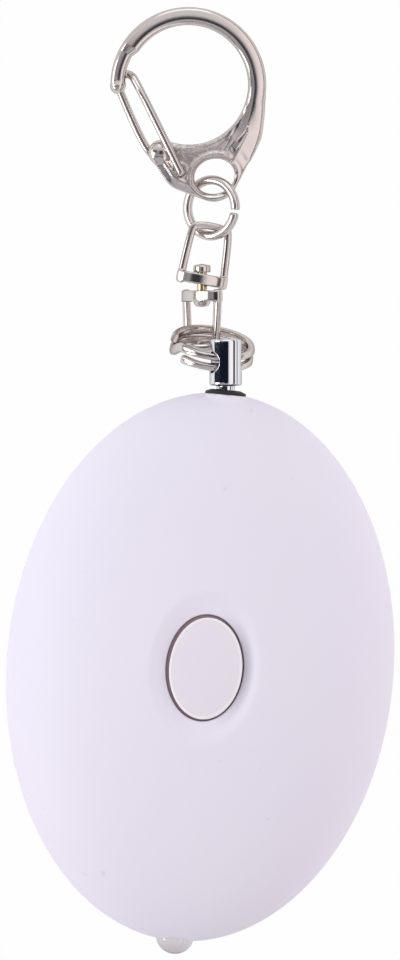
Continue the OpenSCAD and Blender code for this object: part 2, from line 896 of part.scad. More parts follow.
// the bent rod of the clasp: oval sections that narrow at the tip and into the web
rod_sides = 12;
rod_steps = 59;
rod_widths = [
    [-52, 0.7 * rod_w / 2], [-25, rod_w / 2], [149, rod_w / 2], [155, tip_w / 2],
    [180, tip_w / 2], [184, tip_w * 0.4], [187, tip_w * 0.2]
];
rod_depths = [
    [-52, web_t * 0.6], [-20, rod_t / 2], [149, rod_t / 2], [155, tip_t / 2],
    [180, tip_t / 2], [184, tip_t * 0.4], [187, tip_t * 0.2]
];
function rod_middle(g) = g < 149 ? clasp_r + lookup(g, rod_widths)
    : clasp_r + rod_w - max(lookup(g, rod_widths), tip_w / 2);
rod_points = [
    for (i = [0:rod_steps])
    let (g = 187 - 239 * i / rod_steps)
    for (j = [0:rod_sides - 1])
    let (h = 360 * j / rod_sides)
    let (r = rod_middle(g) + lookup(g, rod_widths) * cos(h))
    [r * cos(g), r * sin(g), lookup(g, rod_depths) * sin(h)]
];

module clasp_hook() {
    color("silver")
    clasp_frame()
    difference() {
        union() {
            polyhedron(points = rod_points, faces = tube_faces(rod_steps + 1, rod_sides));
            translate([0, 0, -web_t / 2])
                linear_extrude(height = web_t)
                    difference() {
                        hull() {
                            translate([lug_x, lug_y]) circle(r = lug_knob);
                            translate([eye_x - 0.1, eye_y - 0.1]) circle(r = web_r);
                            rotate(-13) translate([rod_r, 0]) circle(r = rod_w / 2);
                            rotate(-40) translate([hip_reach - hip_r, 0]) circle(r = hip_r);
                            translate([heel_x, heel_y]) circle(r = heel_r);
                        }
                        circle(r = clasp_r + 0.02);
                    }
        }
        translate([eye_x, eye_y, 0])
            rotate([0, 0, eye_lean])
                scale([1, eye_l / eye_w, 1]) {
                    cylinder(d = eye_w, h = 4 * web_t, center = true);
                    for (m = [0, 1])
                        mirror([0, 0, m])
                            translate([0, 0, web_t / 2 - eye_ease])
                                cylinder(d1 = eye_w, d2 = eye_w + 4 * eye_ease, h = 2 * eye_ease);
                }
        translate([pivot_x, pivot_y, -rod_t])
            cylinder(d = gate_wire + 2 * gate_fit, h = 2 * rod_t);
    }
}

module clasp_gate() {
    line = [
        [pivot_x, pivot_y, 0.3], [pivot_x, pivot_y, gate_side - 0.3],
        [pivot_x - 0.25, pivot_y + 0.45, gate_side],
        [-tip_in + 2.1, -2.2, gate_side * 0.7], [-tip_in + 0.82, 0.5, 0.3],
        [-tip_in + 0.8, 1.35, -0.5], [-tip_in + 0.15, 1.35, -gate_back * 0.94],
        [-tip_in - 0.6, 0.2, -gate_back], [-tip_in - 0.3, -1.4, -gate_back],
        [lug_x - 1.9, lug_y + 0.6, -gate_side], [pivot_x - 0.5, pivot_y + 0.3, -gate_side],
        [pivot_x, pivot_y, -gate_side + 0.25], [pivot_x, pivot_y, -0.3]
    ];
    color("silver")
    clasp_frame()
        tube(smooth_line(line, 5), gate_wire / 2, 8, [0.88, 0.47, 0.08]);
}

front_shell();
rear_shell();
battery_door();
door_contact();
case_screws();
button();
circuit_board();
switch_body();
switch_plunger();
pin_grommet();
pin_socket();
socket_leaves();
led_lens();
led_legs();
siren_ring();
siren_disc();
siren_ceramic();
siren_wires();
cell_holder();
coin_cells();
cell_contact();
coil_core();
coil_winding();
transistor();
driver_chip();
capacitor();
small_chips();
pull_pin();
split_ring();
swivel_lower_link();
swivel_rivet();
swivel_upper_link();
jump_ring();
clasp_hook();
clasp_gate();
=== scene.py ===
# %% [markdown]
# # A keyring safety alarm
#
# The alarm is an oval plastic case with one press button, a clear lamp at its foot and a chrome pin at
# its head. The pin hangs on a split ring, a swivel, a jump ring and a cast clasp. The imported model
# gives every piece its place and its joint. This lesson dresses that frame: it makes smooth meshes for
# the pieces that show, and a finish for every surface.

# %% Load the frame
import json
import math

import bpy
import bmesh
import numpy as np
from mathutils import Matrix, Vector


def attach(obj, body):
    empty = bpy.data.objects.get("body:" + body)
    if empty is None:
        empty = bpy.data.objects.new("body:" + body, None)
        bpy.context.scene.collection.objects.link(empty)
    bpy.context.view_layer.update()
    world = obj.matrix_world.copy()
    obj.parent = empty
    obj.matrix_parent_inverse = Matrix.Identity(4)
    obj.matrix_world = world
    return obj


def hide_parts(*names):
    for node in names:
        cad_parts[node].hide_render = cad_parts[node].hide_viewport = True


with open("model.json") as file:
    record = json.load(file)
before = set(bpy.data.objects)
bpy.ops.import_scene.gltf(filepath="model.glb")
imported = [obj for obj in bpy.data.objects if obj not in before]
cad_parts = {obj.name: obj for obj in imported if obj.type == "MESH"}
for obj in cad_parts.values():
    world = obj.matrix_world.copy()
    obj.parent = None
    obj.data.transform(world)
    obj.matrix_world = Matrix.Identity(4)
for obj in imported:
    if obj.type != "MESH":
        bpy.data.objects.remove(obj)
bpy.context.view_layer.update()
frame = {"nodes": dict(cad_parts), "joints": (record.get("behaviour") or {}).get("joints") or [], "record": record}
nodes = frame["nodes"]
joints = {joint["name"]: joint for joint in frame["joints"]}
mm = 0.001

# %% [markdown]
# ## The camera
#
# The photograph looks straight down on the button, from a little to the left, with the chain running up
# the picture. A long lens far away keeps the oval true, because a near camera would swell the middle of
# the case. The camera is placed from three facts: how many pixels a millimetre takes, the pixel of the
# pin's mouth, and the way the pin pulls.

# %% Set the camera
image_w, image_h = 400, 960
pixels_per_mm = 7.745
pin_mouth_pixel = (225.7, 393.1)
camera_distance = 2.0
view_from_left = math.radians(3.1)
sensor = 36

seam_z = 11.2 * mm
case_half_w = 25 * mm
case_half_l = 35.5 * mm
pin_mouth = Vector((0, case_half_l, seam_z))
up = Vector(joints["pin_pull"]["axis"]).normalized()
out = Vector((0, 0, 1))
right = up.cross(out)

across = (image_w / 2 - pin_mouth_pixel[0]) / pixels_per_mm * mm
along = (pin_mouth_pixel[1] - image_h / 2) / pixels_per_mm * mm
aim = pin_mouth + right * across + up * along
back = out * math.cos(view_from_left) - right * math.sin(view_from_left)

lens = bpy.data.cameras.new("photo_camera")
lens.sensor_width = sensor
lens.lens = sensor * camera_distance / (image_h / pixels_per_mm * mm)
camera = bpy.data.objects.new("photo_camera", lens)
camera.matrix_world = Matrix.Translation(aim + back * camera_distance) @ Matrix(
    (up.cross(back), up, back)
).transposed().to_4x4()
bpy.context.scene.collection.objects.link(camera)
bpy.context.scene.camera = camera
bpy.context.scene.view_settings.view_transform = "Standard"
print("camera: lens", round(lens.lens), "mm, aimed at", [round(x / mm, 1) for x in aim])

# %% [markdown]
# ## Shader maths as plain expressions
#
# A finish is a small tree of nodes, and wiring it by hand hides the idea. `Signal` wraps one output
# socket, so that `1 - mask * 0.2` adds its own Math nodes. `Recipe` makes every other node with a
# single method: the node's type, its settings, then the values or signals of its sockets.

# %% Signals and recipes
class Signal:
    """One output of a node tree, which Python's operators can work on."""

    def __init__(self, recipe, socket):
        self.recipe = recipe
        self.socket = socket

    def __add__(self, other):
        return self.recipe.maths("ADD", self, other)

    def __radd__(self, other):
        return self.recipe.maths("ADD", other, self)

    def __sub__(self, other):
        return self.recipe.maths("SUBTRACT", self, other)

    def __rsub__(self, other):
        return self.recipe.maths("SUBTRACT", other, self)

    def __mul__(self, other):
        return self.recipe.maths("MULTIPLY", self, other)

    def __rmul__(self, other):
        return self.recipe.maths("MULTIPLY", other, self)


class Recipe:
    """A node tree that grows by expressions."""

    def __init__(self, tree):
        self.tree = tree

    def feed(self, socket, value):
        if isinstance(value, Signal):
            self.tree.links.new(value.socket, socket)
        else:
            socket.default_value = value

    def node(self, kind, settings, sockets, output=0):
        made = self.tree.nodes.new(kind)
        for name, value in settings.items():
            setattr(made, name, value)
        for key, value in sockets.items():
            self.feed(made.inputs[key], value)
        return Signal(self, made.outputs[output])

    def maths(self, operation, *terms):
        return self.node("ShaderNodeMath", {"operation": operation}, dict(enumerate(terms)))

    def vector(self, operation, first, second=(0, 0, 0), output="Vector"):
        return self.node("ShaderNodeVectorMath", {"operation": operation}, {0: first, 1: second}, output)

    def axis(self, letter, where=None):
        return self.node("ShaderNodeSeparateXYZ", {}, {0: where or self.place()}, letter)

    def mix(self, factor, first, second):
        return self.node("ShaderNodeMix", {"data_type": "RGBA"}, {0: factor, 6: first, 7: second}, 2)

    def between(self, value, low, high):
        sockets = {"Value": value, "From Min": low, "From Max": high}
        return self.node("ShaderNodeMapRange", {"interpolation_type": "SMOOTHSTEP"}, sockets)

    def place(self):
        return self.node("ShaderNodeTexCoord", {}, {}, "Object")

    def noise(self, size, detail):
        sockets = {"Vector": self.place(), "Scale": 1 / size, "Detail": detail}
        return self.node("ShaderNodeTexNoise", {}, sockets)


def srgb(red, green, blue):
    """A colour as a picture editor writes it, turned into the light that the shader works in."""
    parts = [part / 255 for part in (red, green, blue)]
    return tuple(p / 12.92 if p < 0.04045 else ((p + 0.055) / 1.055) ** 2.4 for p in parts) + (1.0,)


class Finish(Recipe):
    """A material with one main shader, whose even values are set on its own sockets."""

    def __init__(self, name, **even):
        self.material = bpy.data.materials.new(name)
        self.material.use_nodes = True
        super().__init__(self.material.node_tree)
        self.shader = self.tree.nodes["Principled BSDF"]
        for key, value in even.items():
            self.shader.inputs[key.replace("_", " ")].default_value = value

    def set(self, key, value):
        self.feed(self.shader.inputs[key], value)

    def bump(self, height, depth, strength=1.0):
        sockets = {"Height": height, "Distance": depth, "Strength": strength}
        self.set("Normal", self.node("ShaderNodeBump", {}, sockets))


print("shader helpers ready")

# %% [markdown]
# ## Soft-touch case and satin button
#
# The case is moulded plastic with a soft-touch coat: almost white with a breath of lavender, quite
# dull, with a few faint rubs from handling. One flat colour would look like paper, so wide clouds shift
# the tint a little, small rubs darken it, and a grain of a tenth of a millimetre breaks up the light.
# The button is the same plastic without the coat, so it is warmer and shinier.

# %% Plastic finishes
def oval_spot(finish, half):
    """Each place as shares of an oval's half axes, and the length of those shares, which is 1 on the oval."""
    spot = finish.vector("MULTIPLY", finish.place(), (1 / half[0], 1 / half[1], 0))
    return spot, finish.vector("LENGTH", spot, output="Value")


def soft_touch(hole):
    """Soft white plastic. Beside the button's oval hole, on its long sides, painted shade darkens the colour, most
    on the right, where the raised button's shadow falls.
    """
    shade_reach = 1.3
    shade_share = 0.5
    rub_share = 0.35
    finish = Finish("soft_touch_plastic", Specular_IOR_Level=0.35)
    spot, reach = oval_spot(finish, hole)
    side = finish.axis("X", spot)
    on_top = finish.between(finish.axis("Z"), 15 * mm, 17 * mm)
    near = (1 - finish.between(reach, 1.0, shade_reach)) * on_top
    # Painted shade beside the hole: strongest on the right side, weak on the left, none at the two ends.
    painted_shade = near * side * side * (0.6 + side * 0.4)
    clouds = finish.noise(22 * mm, 3.0)
    rubs = finish.between(finish.noise(1.9 * mm, 4.0), 0.70, 0.78)
    tint = finish.mix(clouds, srgb(239, 235, 249), srgb(243, 239, 250))
    tint = finish.mix(painted_shade * shade_share, tint, srgb(150, 140, 152))
    finish.set("Base Color", finish.mix(rubs * rub_share, tint, srgb(214, 206, 214)))
    finish.set("Roughness", 0.5 + clouds * 0.12 - rubs * 0.12)
    finish.bump(finish.noise(0.12 * mm, 2.0), 0.012 * mm, 0.5)
    return finish.material


def satin_white(half, gap_z):
    """White plastic for an oval of these half axes: paler at its edge as a painted highlight, and darker in the
    gap below as painted shade.
    """
    finish = Finish("satin_button_plastic", Specular_IOR_Level=0.5)
    clouds = finish.noise(6 * mm, 2.0)
    # Painted highlight: the colour turns paler in a band along the button's rim.
    edge = finish.between(oval_spot(finish, half)[1], 0.94, 0.97)
    # Painted shade: below the gap's height the skirt, down in the gap, is painted dark brown-grey.
    painted_shade = 1 - finish.between(finish.axis("Z"), gap_z - 0.08 * mm, gap_z + 0.04 * mm)
    face = finish.mix(clouds, srgb(240, 234, 243), srgb(243, 238, 245))
    face = finish.mix(edge, face, srgb(253, 251, 254))
    finish.set("Base Color", finish.mix(painted_shade, face, srgb(150, 128, 132)))
    finish.set("Roughness", 0.26 + clouds * 0.1)
    finish.bump(finish.noise(0.3 * mm, 2.0), 0.004 * mm, 0.4)
    return finish.material


hole_half = np.array([5.03, 6.88]) * mm
case_finish = soft_touch(hole_half)
print("finish:", case_finish.name)

# %% [markdown]
# ## Plated metals
#
# The chain is nickel over cast zinc and bent wire, and nickel is a warm grey. The pin is chrome, which
# is cooler and smoother. Plating is never flat: it has a slight orange-peel, hairlines from the barrel,
# and duller patches. On the clasp, the web above the eye keeps the pitted skin of the casting, so its
# finish takes a spot and a size for it.

# %% Metal finishes
edge_tint = (0.45, 0.42, 0.42, 1.0)


def plated(name, colour, dull, peel, cast_at=None):
    """Plated metal: dull is its roughness and peel the height of its waves. With cast_at, which is a spot
    and a reach, the pits of the casting show there."""
    finish = Finish(name, Metallic=1.0, Specular_Tint=edge_tint)
    patches = finish.noise(2.6 * mm, 3.0)
    hairlines = finish.noise(0.25 * mm, 1.0)
    dark = tuple(part * 0.86 for part in colour[:3]) + (1.0,)
    roughness = dull + patches * dull * 0.8
    height = finish.noise(1.1 * mm, 1.0) * peel + hairlines * peel * 0.25
    shade = patches * 0.6
    if cast_at:
        spot, reach = cast_at
        way = finish.vector("DISTANCE", finish.place(), spot, "Value")
        cast = 1 - finish.between(way, reach * 0.55, reach)
        pits = finish.between(finish.noise(0.55 * mm, 3.0), 0.42, 0.66)
        roughness = roughness + cast * 0.22
        height = height + cast * pits * 1.7
        shade = shade + cast * pits * 3
    finish.set("Base Color", finish.mix(shade, colour, dark))
    finish.set("Roughness", roughness)
    finish.bump(height, 0.03 * mm, 0.5)
    return finish.material


nickel_colour = (0.70, 0.645, 0.62, 1.0)
nickel_finish = plated("nickel_plate", nickel_colour, 0.11, 0.35)
chrome_finish = plated("chrome_plate", (0.80, 0.81, 0.85, 1.0), 0.035, 0.06)
steel_finish = plated("plated_steel", (0.60, 0.60, 0.60, 1.0), 0.22, 0.2)
bronze_finish = plated("stamped_bronze", (0.78, 0.56, 0.28, 1.0), 0.25, 0.2)
print("finishes:", nickel_finish.name, chrome_finish.name, steel_finish.name)

# %% [markdown]
# ## Rubber, clear resin and the pieces inside
#
# The washer is black rubber, which takes a dull grain. The lamp is clear epoxy, so light passes through
# it and bends. Inside the closed case are a green board and its parts. Nobody sees them until the case
# is opened, but each still gets its own small recipe: a colour that drifts, a roughness and a grain.

# %% Rubber, resin and inner finishes
def grained(name, light, dark, rough, grain, depth):
    finish = Finish(name)
    drift = finish.noise(grain * 12, 3.0)
    finish.set("Base Color", finish.mix(drift, light, dark))
    finish.set("Roughness", rough + drift * 0.15)
    finish.bump(finish.noise(grain, 2.0), depth, 0.6)
    return finish.material


def clear_resin(tip_y):
    """Clear epoxy, a little darker toward the tip of the lamp."""
    finish = Finish("clear_epoxy", Transmission_Weight=0.86, IOR=1.53)
    haze = finish.noise(1.5 * mm, 2.0)
    along = finish.axis("Y") + haze * 0.3 * mm
    tip = 1 - finish.between(along, tip_y, tip_y + 2.0 * mm)
    finish.set("Base Color", finish.mix(tip, srgb(224, 218, 225), srgb(184, 165, 177)))
    finish.set("Roughness", 0.02 + haze * 0.05)
    return finish.material


def green_board():
    finish = Finish("green_board", Specular_IOR_Level=0.5)
    sockets = {"Vector": finish.place(), "Scale": 1 / (7 * mm), "Distortion": 3.0, "Detail": 1.0}
    lines = finish.node("ShaderNodeTexWave", {"bands_direction": "X"}, sockets, "Fac")
    trace = finish.between(lines, 0.72, 0.80)
    finish.set("Base Color", finish.mix(trace, srgb(18, 92, 48), srgb(40, 128, 70)))
    finish.set("Roughness", 0.42 - trace * 0.1)
    finish.bump(trace, 0.02 * mm)
    return finish.material


def wound_copper():
    finish = Finish("enamelled_copper", Metallic=1.0)
    sockets = {"Vector": finish.place(), "Scale": 1 / (2.2 * mm), "Detail": 0.0}
    turns = finish.node("ShaderNodeTexWave", {"bands_direction": "Z"}, sockets, "Fac")
    finish.set("Base Color", finish.mix(turns, srgb(120, 52, 24), srgb(205, 120, 66)))
    finish.set("Roughness", 0.34 - turns * 0.12)
    finish.bump(turns, 0.08 * mm)
    return finish.material


rubber_finish = grained("black_rubber", srgb(24, 23, 25), srgb(36, 34, 36), 0.55, 0.15 * mm, 0.02 * mm)
lamp_tip = case_half_l + 1.75 * mm
resin_finish = clear_resin(-lamp_tip)
inner_finishes = {
    "board": green_board(),
    "copper": wound_copper(),
    "bronze": bronze_finish,
    "steel": steel_finish,
    "nickel": nickel_finish,
    "black_plastic": grained("moulded_black", srgb(34, 34, 36), srgb(46, 46, 48), 0.45, 0.2 * mm, 0.02 * mm),
    "ceramic": grained("fired_ceramic", srgb(226, 219, 202), srgb(212, 203, 184), 0.4, 0.2 * mm, 0.01 * mm),
    "wire_red": grained("red_insulation", srgb(186, 32, 30), srgb(160, 24, 26), 0.4, 0.3 * mm, 0.01 * mm),
    "ferrite": grained("pressed_ferrite", srgb(62, 62, 66), srgb(48, 48, 52), 0.5, 0.15 * mm, 0.02 * mm),
}
print("finishes:", rubber_finish.name, resin_finish.name, "and", len(inner_finishes), "inner slots")

# %% [markdown]
# ## Making pieces
#
# Every new piece is built by `mesh_object`, which turns its faces outward, and then goes through
# `piece`, which gives it its finish, smooths the shading except at real edges, hangs it on the body it
# rides on and hides the nodes that it stands for.

# %% Put a mesh into the frame
def mesh_object(name, points, faces):
    mesh = bpy.data.meshes.new(name)
    mesh.from_pydata([tuple(p) for p in points], [], faces)
    work = bmesh.new()
    work.from_mesh(mesh)
    bmesh.ops.recalc_face_normals(work, faces=work.faces)
    work.to_mesh(mesh)
    work.free()
    made = bpy.data.objects.new(name, mesh)
    bpy.context.scene.collection.objects.link(made)
    return made


def piece(made, body, slot, finish, *replaced, crease=38):
    made.data.materials.clear()
    made.data.materials.append(finish)
    if crease:
        made.data.shade_smooth()
        made.data.set_sharp_from_angle(angle=math.radians(crease))
    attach(made, body)
    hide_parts(*replaced)
    print(made.name, "rides on", body, "with", len(made.data.polygons), "faces")
    return made


print("piece maker ready")

# %% [markdown]
# ## Lofts, turned outlines and wires
#
# Three ways of making a mesh cover most of this alarm. A loft joins rings of points. A turned piece is
# a loft round an axis, from an outline whose corners are eased, because no real edge is sharp. A wire
# is a loft along a path, with a frame that is carried from ring to ring so that it never twists.

# %% Lofting helpers
def full_turn(sides):
    return np.linspace(0, 2 * math.pi, sides, endpoint=False)


def loft(rings, closed=False):
    """Quads from ring to ring; an open loft has its two end rings closed by a face."""
    sides = len(rings[0])
    this = np.arange(sides)
    after = (this + 1) % sides
    faces = []
    for i in range(len(rings) if closed else len(rings) - 1):
        low = i * sides
        high = (i + 1) % len(rings) * sides
        faces += np.stack([low + this, low + after, high + after, high + this], 1).tolist()
    if not closed:
        faces.append(this[::-1].tolist())
        faces.append((this + (len(rings) - 1) * sides).tolist())
    return np.concatenate(rings), faces


def eased(corners, steps=6):
    """An outline through corners of (x, y, radius), each rounded by its radius."""
    line = []
    for i, (x, y, radius) in enumerate(corners):
        here = np.array([x, y])
        if radius == 0:
            line.append(here)
            continue
        before = np.array(corners[i - 1][:2]) - here
        after = np.array(corners[(i + 1) % len(corners)][:2]) - here
        before = before / np.linalg.norm(before)
        after = after / np.linalg.norm(after)
        half = math.acos(np.clip(before @ after, -1, 1)) / 2
        middle = here + (before + after) / np.linalg.norm(before + after) * radius / math.sin(half)
        start = here + before * radius / math.tan(half) - middle
        end = here + after * radius / math.tan(half) - middle
        turn = math.atan2(start[0] * end[1] - start[1] * end[0], start @ end)
        for angle in np.linspace(0, turn, steps):
            c, s = math.cos(angle), math.sin(angle)
            line.append(middle + (start[0] * c - start[1] * s, start[0] * s + start[1] * c))
    return np.array(line)


def turned(outline, place, sides=64, closed=False):
    """Rings of an outline of (radius, height) round the Z axis of a place."""
    angle = full_turn(sides)
    rings = [np.stack([r * np.cos(angle), r * np.sin(angle), np.full(sides, h)], 1) for r, h in outline]
    points, faces = loft(rings, closed)
    return moved(points, place), faces


def moved(points, place):
    turn = np.array(place)
    return points @ turn[:3, :3].T + turn[:3, 3]


def wire(name, path, section, side, place, swell=None):
    """A flat section goes along a path, and side says which way its first axis starts. Swell stretches
    that axis ring by ring. The two ends are a little smaller, as if filed."""
    end_size = 0.86
    swell = np.ones(len(path)) if swell is None else swell
    ahead = np.gradient(path, axis=0)
    ahead /= np.linalg.norm(ahead, axis=1)[:, None]
    first = np.array(side)
    rings = []
    for spot, way, grow in zip(path, ahead, swell):
        first = first - way * (first @ way)
        first = first / np.linalg.norm(first)
        second = np.cross(way, first)
        rings.append(spot + section[:, :1] * first * grow + section[:, 1:] * second)
    for end in (0, -1):
        rings[end] = path[end] + (rings[end] - path[end]) * end_size
    points, faces = loft(rings)
    return mesh_object(name, moved(points, place), faces)


def oval(half_w, half_h, power, sides):
    """A closed section between a round (power 2) and a rounded rectangle (power 4 and up)."""
    angle = full_turn(sides)
    c, s = np.cos(angle), np.sin(angle)
    wide = np.sign(c) * np.abs(c) ** (2 / power) * half_w
    tall = np.sign(s) * np.abs(s) ** (2 / power) * half_h
    return np.stack([wide, tall], 1)


def smooth_path(knots, steps):
    """A smooth line through knots."""
    knots = np.array(knots)
    padded = np.concatenate([knots[:1], knots, knots[-1:]])
    line = []
    for p0, p1, p2, p3 in zip(padded, padded[1:], padded[2:], padded[3:]):
        for s in np.arange(steps) / steps:
            bend = (2 * p0 - 5 * p1 + 4 * p2 - p3) * s**2 + (3 * p1 - p0 - 3 * p2 + p3) * s**3
            line.append((2 * p1 + (p2 - p0) * s + bend) / 2)
    return np.array(line + [knots[-1]])


print("lofting helpers ready")

# %% [markdown]
# ## Skins round a field
#
# The clasp, the stirrups and the pin's head have shapes that flow into each other, which lofts do
# badly. For these, a field says how far any point is from the surface, negative inside. Fields join
# softly: a smooth minimum adds a fillet and a smooth maximum eases an edge. `skin` marks the grid cells
# that the surface crosses, joins their middles into quads, and then draws each point onto the surface
# by a few steps along the field's slope.

# %% Field helpers
def join(first, second, fillet):
    """First with second."""
    mixed = np.clip(0.5 + (second - first) / (2 * fillet), 0, 1)
    return second + (first - second) * mixed - fillet * mixed * (1 - mixed)


def cut(first, second, ease):
    """First without second."""
    return -join(-first, second, ease)


def overlap(first, second, ease):
    """Where first and second both are."""
    return -join(-first, -second, ease)


def slope(field, points, step):
    parts = [field(points + step * axis) - field(points - step * axis) for axis in np.eye(3)]
    return np.stack(parts, -1) / (2 * step)


def skin(field, low, high, cell):
    low = np.array(low) - 2 * cell
    counts = np.ceil((np.array(high) + 2 * cell - low) / cell).astype(int)
    grid = low + np.stack(np.meshgrid(*[np.arange(n + 1) for n in counts], indexing="ij"), -1) * cell
    inside = field(grid) < 0
    corners = np.zeros(counts, int)
    for shift in np.ndindex(2, 2, 2):
        corners += inside[tuple(slice(s, s + n) for s, n in zip(shift, counts))]
    crossed = (corners > 0) & (corners < 8)
    number = np.full(counts, -1)
    number[crossed] = np.arange(crossed.sum())
    points = low + (np.argwhere(crossed) + 0.5) * cell
    quads = []
    for axis in range(3):
        one, two = [other for other in range(3) if other != axis]
        ends = [np.take(inside, range(k, inside.shape[axis] - 1 + k), axis) for k in (0, 1)]
        edges = np.argwhere(ends[0] != ends[1])
        edges = edges[(edges[:, one] > 0) & (edges[:, two] > 0)]
        ring = []
        for a, b in ((0, 0), (1, 0), (1, 1), (0, 1)):
            corner = edges.copy()
            corner[:, one] -= a
            corner[:, two] -= b
            ring.append(number[tuple(corner.T)])
        quads.append(np.stack(ring, 1))
    quads = np.concatenate(quads)
    return drawn_on(field, points, quads, cell), quads.tolist()


def drawn_on(field, points, quads, cell, rounds=8):
    """Evens out the quads and keeps every point on the surface."""
    pairs = np.concatenate([quads[:, [k, (k + 1) % 4]] for k in range(4)])
    pairs = np.concatenate([pairs, pairs[:, ::-1]])
    count = np.bincount(pairs[:, 0], minlength=len(points))[:, None]
    for _ in range(rounds):
        total = np.zeros_like(points)
        np.add.at(total, pairs[:, 0], points[pairs[:, 1]])
        points = points + (total / count - points) * 0.5
        for _ in range(3):
            rise = slope(field, points, cell * 0.05)
            steep = np.maximum((rise**2).sum(-1, keepdims=True), 0.05)
            step = field(points)[:, None] * rise / steep
            points = points - np.clip(step, -cell, cell)
    return points


def skinned(name, field, low, high, cell, place):
    """A skin in its place, shaded by the field's own slope, which is smoother than its faces."""
    points, faces = skin(field, low, high, cell)
    made = mesh_object(name, moved(points, place), faces)
    rise = slope(field, points, cell * 0.05) @ np.array(place)[:3, :3].T
    made.data.shade_smooth()
    made.data.normals_split_custom_set_from_vertices(rise / np.linalg.norm(rise, axis=1)[:, None])
    return made


def rod_field(radius, along, half, ball):
    """Distance to a round bar of a half length, with its ends eased by ball."""
    wide = radius[0] - radius[1] + ball
    long = np.abs(along) - half + ball
    outside = np.hypot(np.maximum(wide, 0), np.maximum(long, 0))
    return outside + np.minimum(np.maximum(wide, long), 0) - ball


def heap(parts):
    """Several closed meshes as one list of points and faces."""
    points, faces = [], []
    for part_points, part_faces in parts:
        start = sum(len(p) for p in points)
        points.append(part_points)
        faces += [[start + k for k in face] for face in part_faces]
    return np.concatenate(points), faces


def combine(made, parts, operation):
    """Joins closed meshes to a piece, or cuts them away."""
    tool = mesh_object("tool", *heap(parts))
    change = made.modifiers.new(operation, "BOOLEAN")
    change.operation = operation
    change.solver = "EXACT"
    change.object = tool
    graph = bpy.context.evaluated_depsgraph_get()
    mesh = bpy.data.meshes.new_from_object(made.evaluated_get(graph))
    made.modifiers.clear()
    old = made.data
    made.data = mesh
    mesh.name = made.name
    bpy.data.meshes.remove(old)
    bpy.data.objects.remove(tool)


print("field helpers ready")

# %% [markdown]
# ## The case
#
# Each half of the case is half an ellipsoid with a wall. The front has a shallow dish that falls softly
# to the button hole, and both halves share a small flat boss for the washer. A polar grid suits it:
# rings run from the seam to the button hole, each point starts on the ellipsoid and slides along its
# normal until the field with the dish and the boss is zero. The rings lie closer at the two ends, where
# the boss and the lamp are.

# %% Shape of the case
front_h = 11.5 * mm
rear_h = 12.6 * mm
wall = 1.8 * mm
seam_ease = 0.14 * mm
case_sides = 256

dish_half = np.array([8.52, 11.64, 2.045]) * mm
dish_z = 23.357 * mm
dish_blend = 0.16 * mm
dish_lift = 1.35
boss_r = 2.9 * mm
boss_l = 4 * mm
boss_blend = 0.5 * mm
washer_seat = case_half_l - 0.25 * mm
seat_ease = 0.12 * mm
back_ease = 0.5 * mm

end_crowding = 0.32
spread = full_turn(case_sides)
around = spread + end_crowding * np.sin(2 * spread)
half_axes = np.array([case_half_w, case_half_l])


def egg(points, half, middle_z):
    """How far points are from an ellipsoid."""
    away = (points - (0, 0, middle_z)) / half
    size = np.linalg.norm(away, axis=-1)
    return size * (size - 1) / np.maximum(np.linalg.norm(away / half, axis=-1), 1e-9)


def boss_field(points):
    radius = np.hypot(points[..., 0], points[..., 2] - seam_z)
    return np.maximum(radius - boss_r, case_half_l - boss_l - points[..., 1])


def half_field(points, height):
    """One half of the case, with the boss cut flat for the washer."""
    case = egg(points, (case_half_w, case_half_l, height), seam_z)
    case = join(case, boss_field(points), boss_blend)
    return overlap(case, points[..., 1] - washer_seat, seat_ease)


def front_field(points):
    return cut(half_field(points, front_h), egg(points, dish_half, dish_z), dish_blend)


def rear_field(points):
    return overlap(half_field(points, rear_h), -points[..., 2], back_ease)


def oval_ring(half, z):
    ring = np.stack([half[0] * np.cos(around), half[1] * np.sin(around), np.zeros(case_sides)], 1)
    ring[:, 2] = z
    return ring


def dome_ring(half, size, middle_z=seam_z):
    """A ring on an ellipsoid of size (half width, half length, signed height)."""
    ring = oval_ring(half, middle_z)
    rise = 1 - (ring[:, 0] / size[0]) ** 2 - (ring[:, 1] / size[1]) ** 2
    ring[:, 2] += size[2] * np.sqrt(np.maximum(rise, 0))
    return ring


def slid_on(field, ring, size):
    """Slides a ring along the ellipsoid's normals until the field is zero."""
    way = (ring - (0, 0, seam_z)) / np.array(size) ** 2
    way /= np.linalg.norm(way, axis=1)[:, None]
    step = 0.01 * mm
    for _ in range(12):
        rate = (field(ring + way * step) - field(ring - way * step)) / (2 * step)
        ring = ring - way * (field(ring) / np.maximum(rate, 0.3))[:, None]
    return ring


def dome_rings(field, size, inner, count, fine=0):
    """Rings from just past the seam to an inner oval. With fine, that many lie close together at the dish."""
    start = math.asin(seam_ease / abs(size[2]))
    lifts = np.linspace(start, math.pi / 2, count)
    if fine:
        lifts = np.append(lifts[lifts < dish_lift], np.linspace(dish_lift, math.pi / 2, fine))
    rings = []
    for lift in lifts:
        half = inner + (np.array(size[:2]) - inner) * math.cos(lift)
        ring = dome_ring(half, size)
        rings.append(slid_on(field, ring, size) if field else ring)
    return rings


def seam_rings(side):
    """The eased edge at the seam, from its flat out to the skin; side is 1 above and -1 below."""
    quarter = np.linspace(0, math.pi / 2, 5)[:-1]
    return [
        oval_ring(half_axes - seam_ease * (1 - math.sin(t)), seam_z + side * seam_ease * (1 - math.cos(t)))
        for t in quarter
    ]


print("case: seam at", round(seam_z / mm, 1), "mm, hole", np.round(2 * hole_half / mm, 2), "mm")

# %% [markdown]
# The front half goes round in one closed loft: the seam's edge, the outer skin, the eased lip of the
# button hole, the collar that guides the button, and the inner skin back to the seam. The holes for the
# pin's sleeve and the lamp lie across both halves, so each half is cut by the same two bars.

# %% Front half of the case
collar_z = 18.5 * mm
well_top = 20.6 * mm
collar_rim = 1.1 * mm
hole_lip = 0.22 * mm
sleeve_hole_r = 2.1 * mm
lamp_hole_r = 2.7 * mm
lamp_z = seam_z - 1.1 * mm
pull_way = Matrix.Rotation(-math.pi / 2, 4, "X")


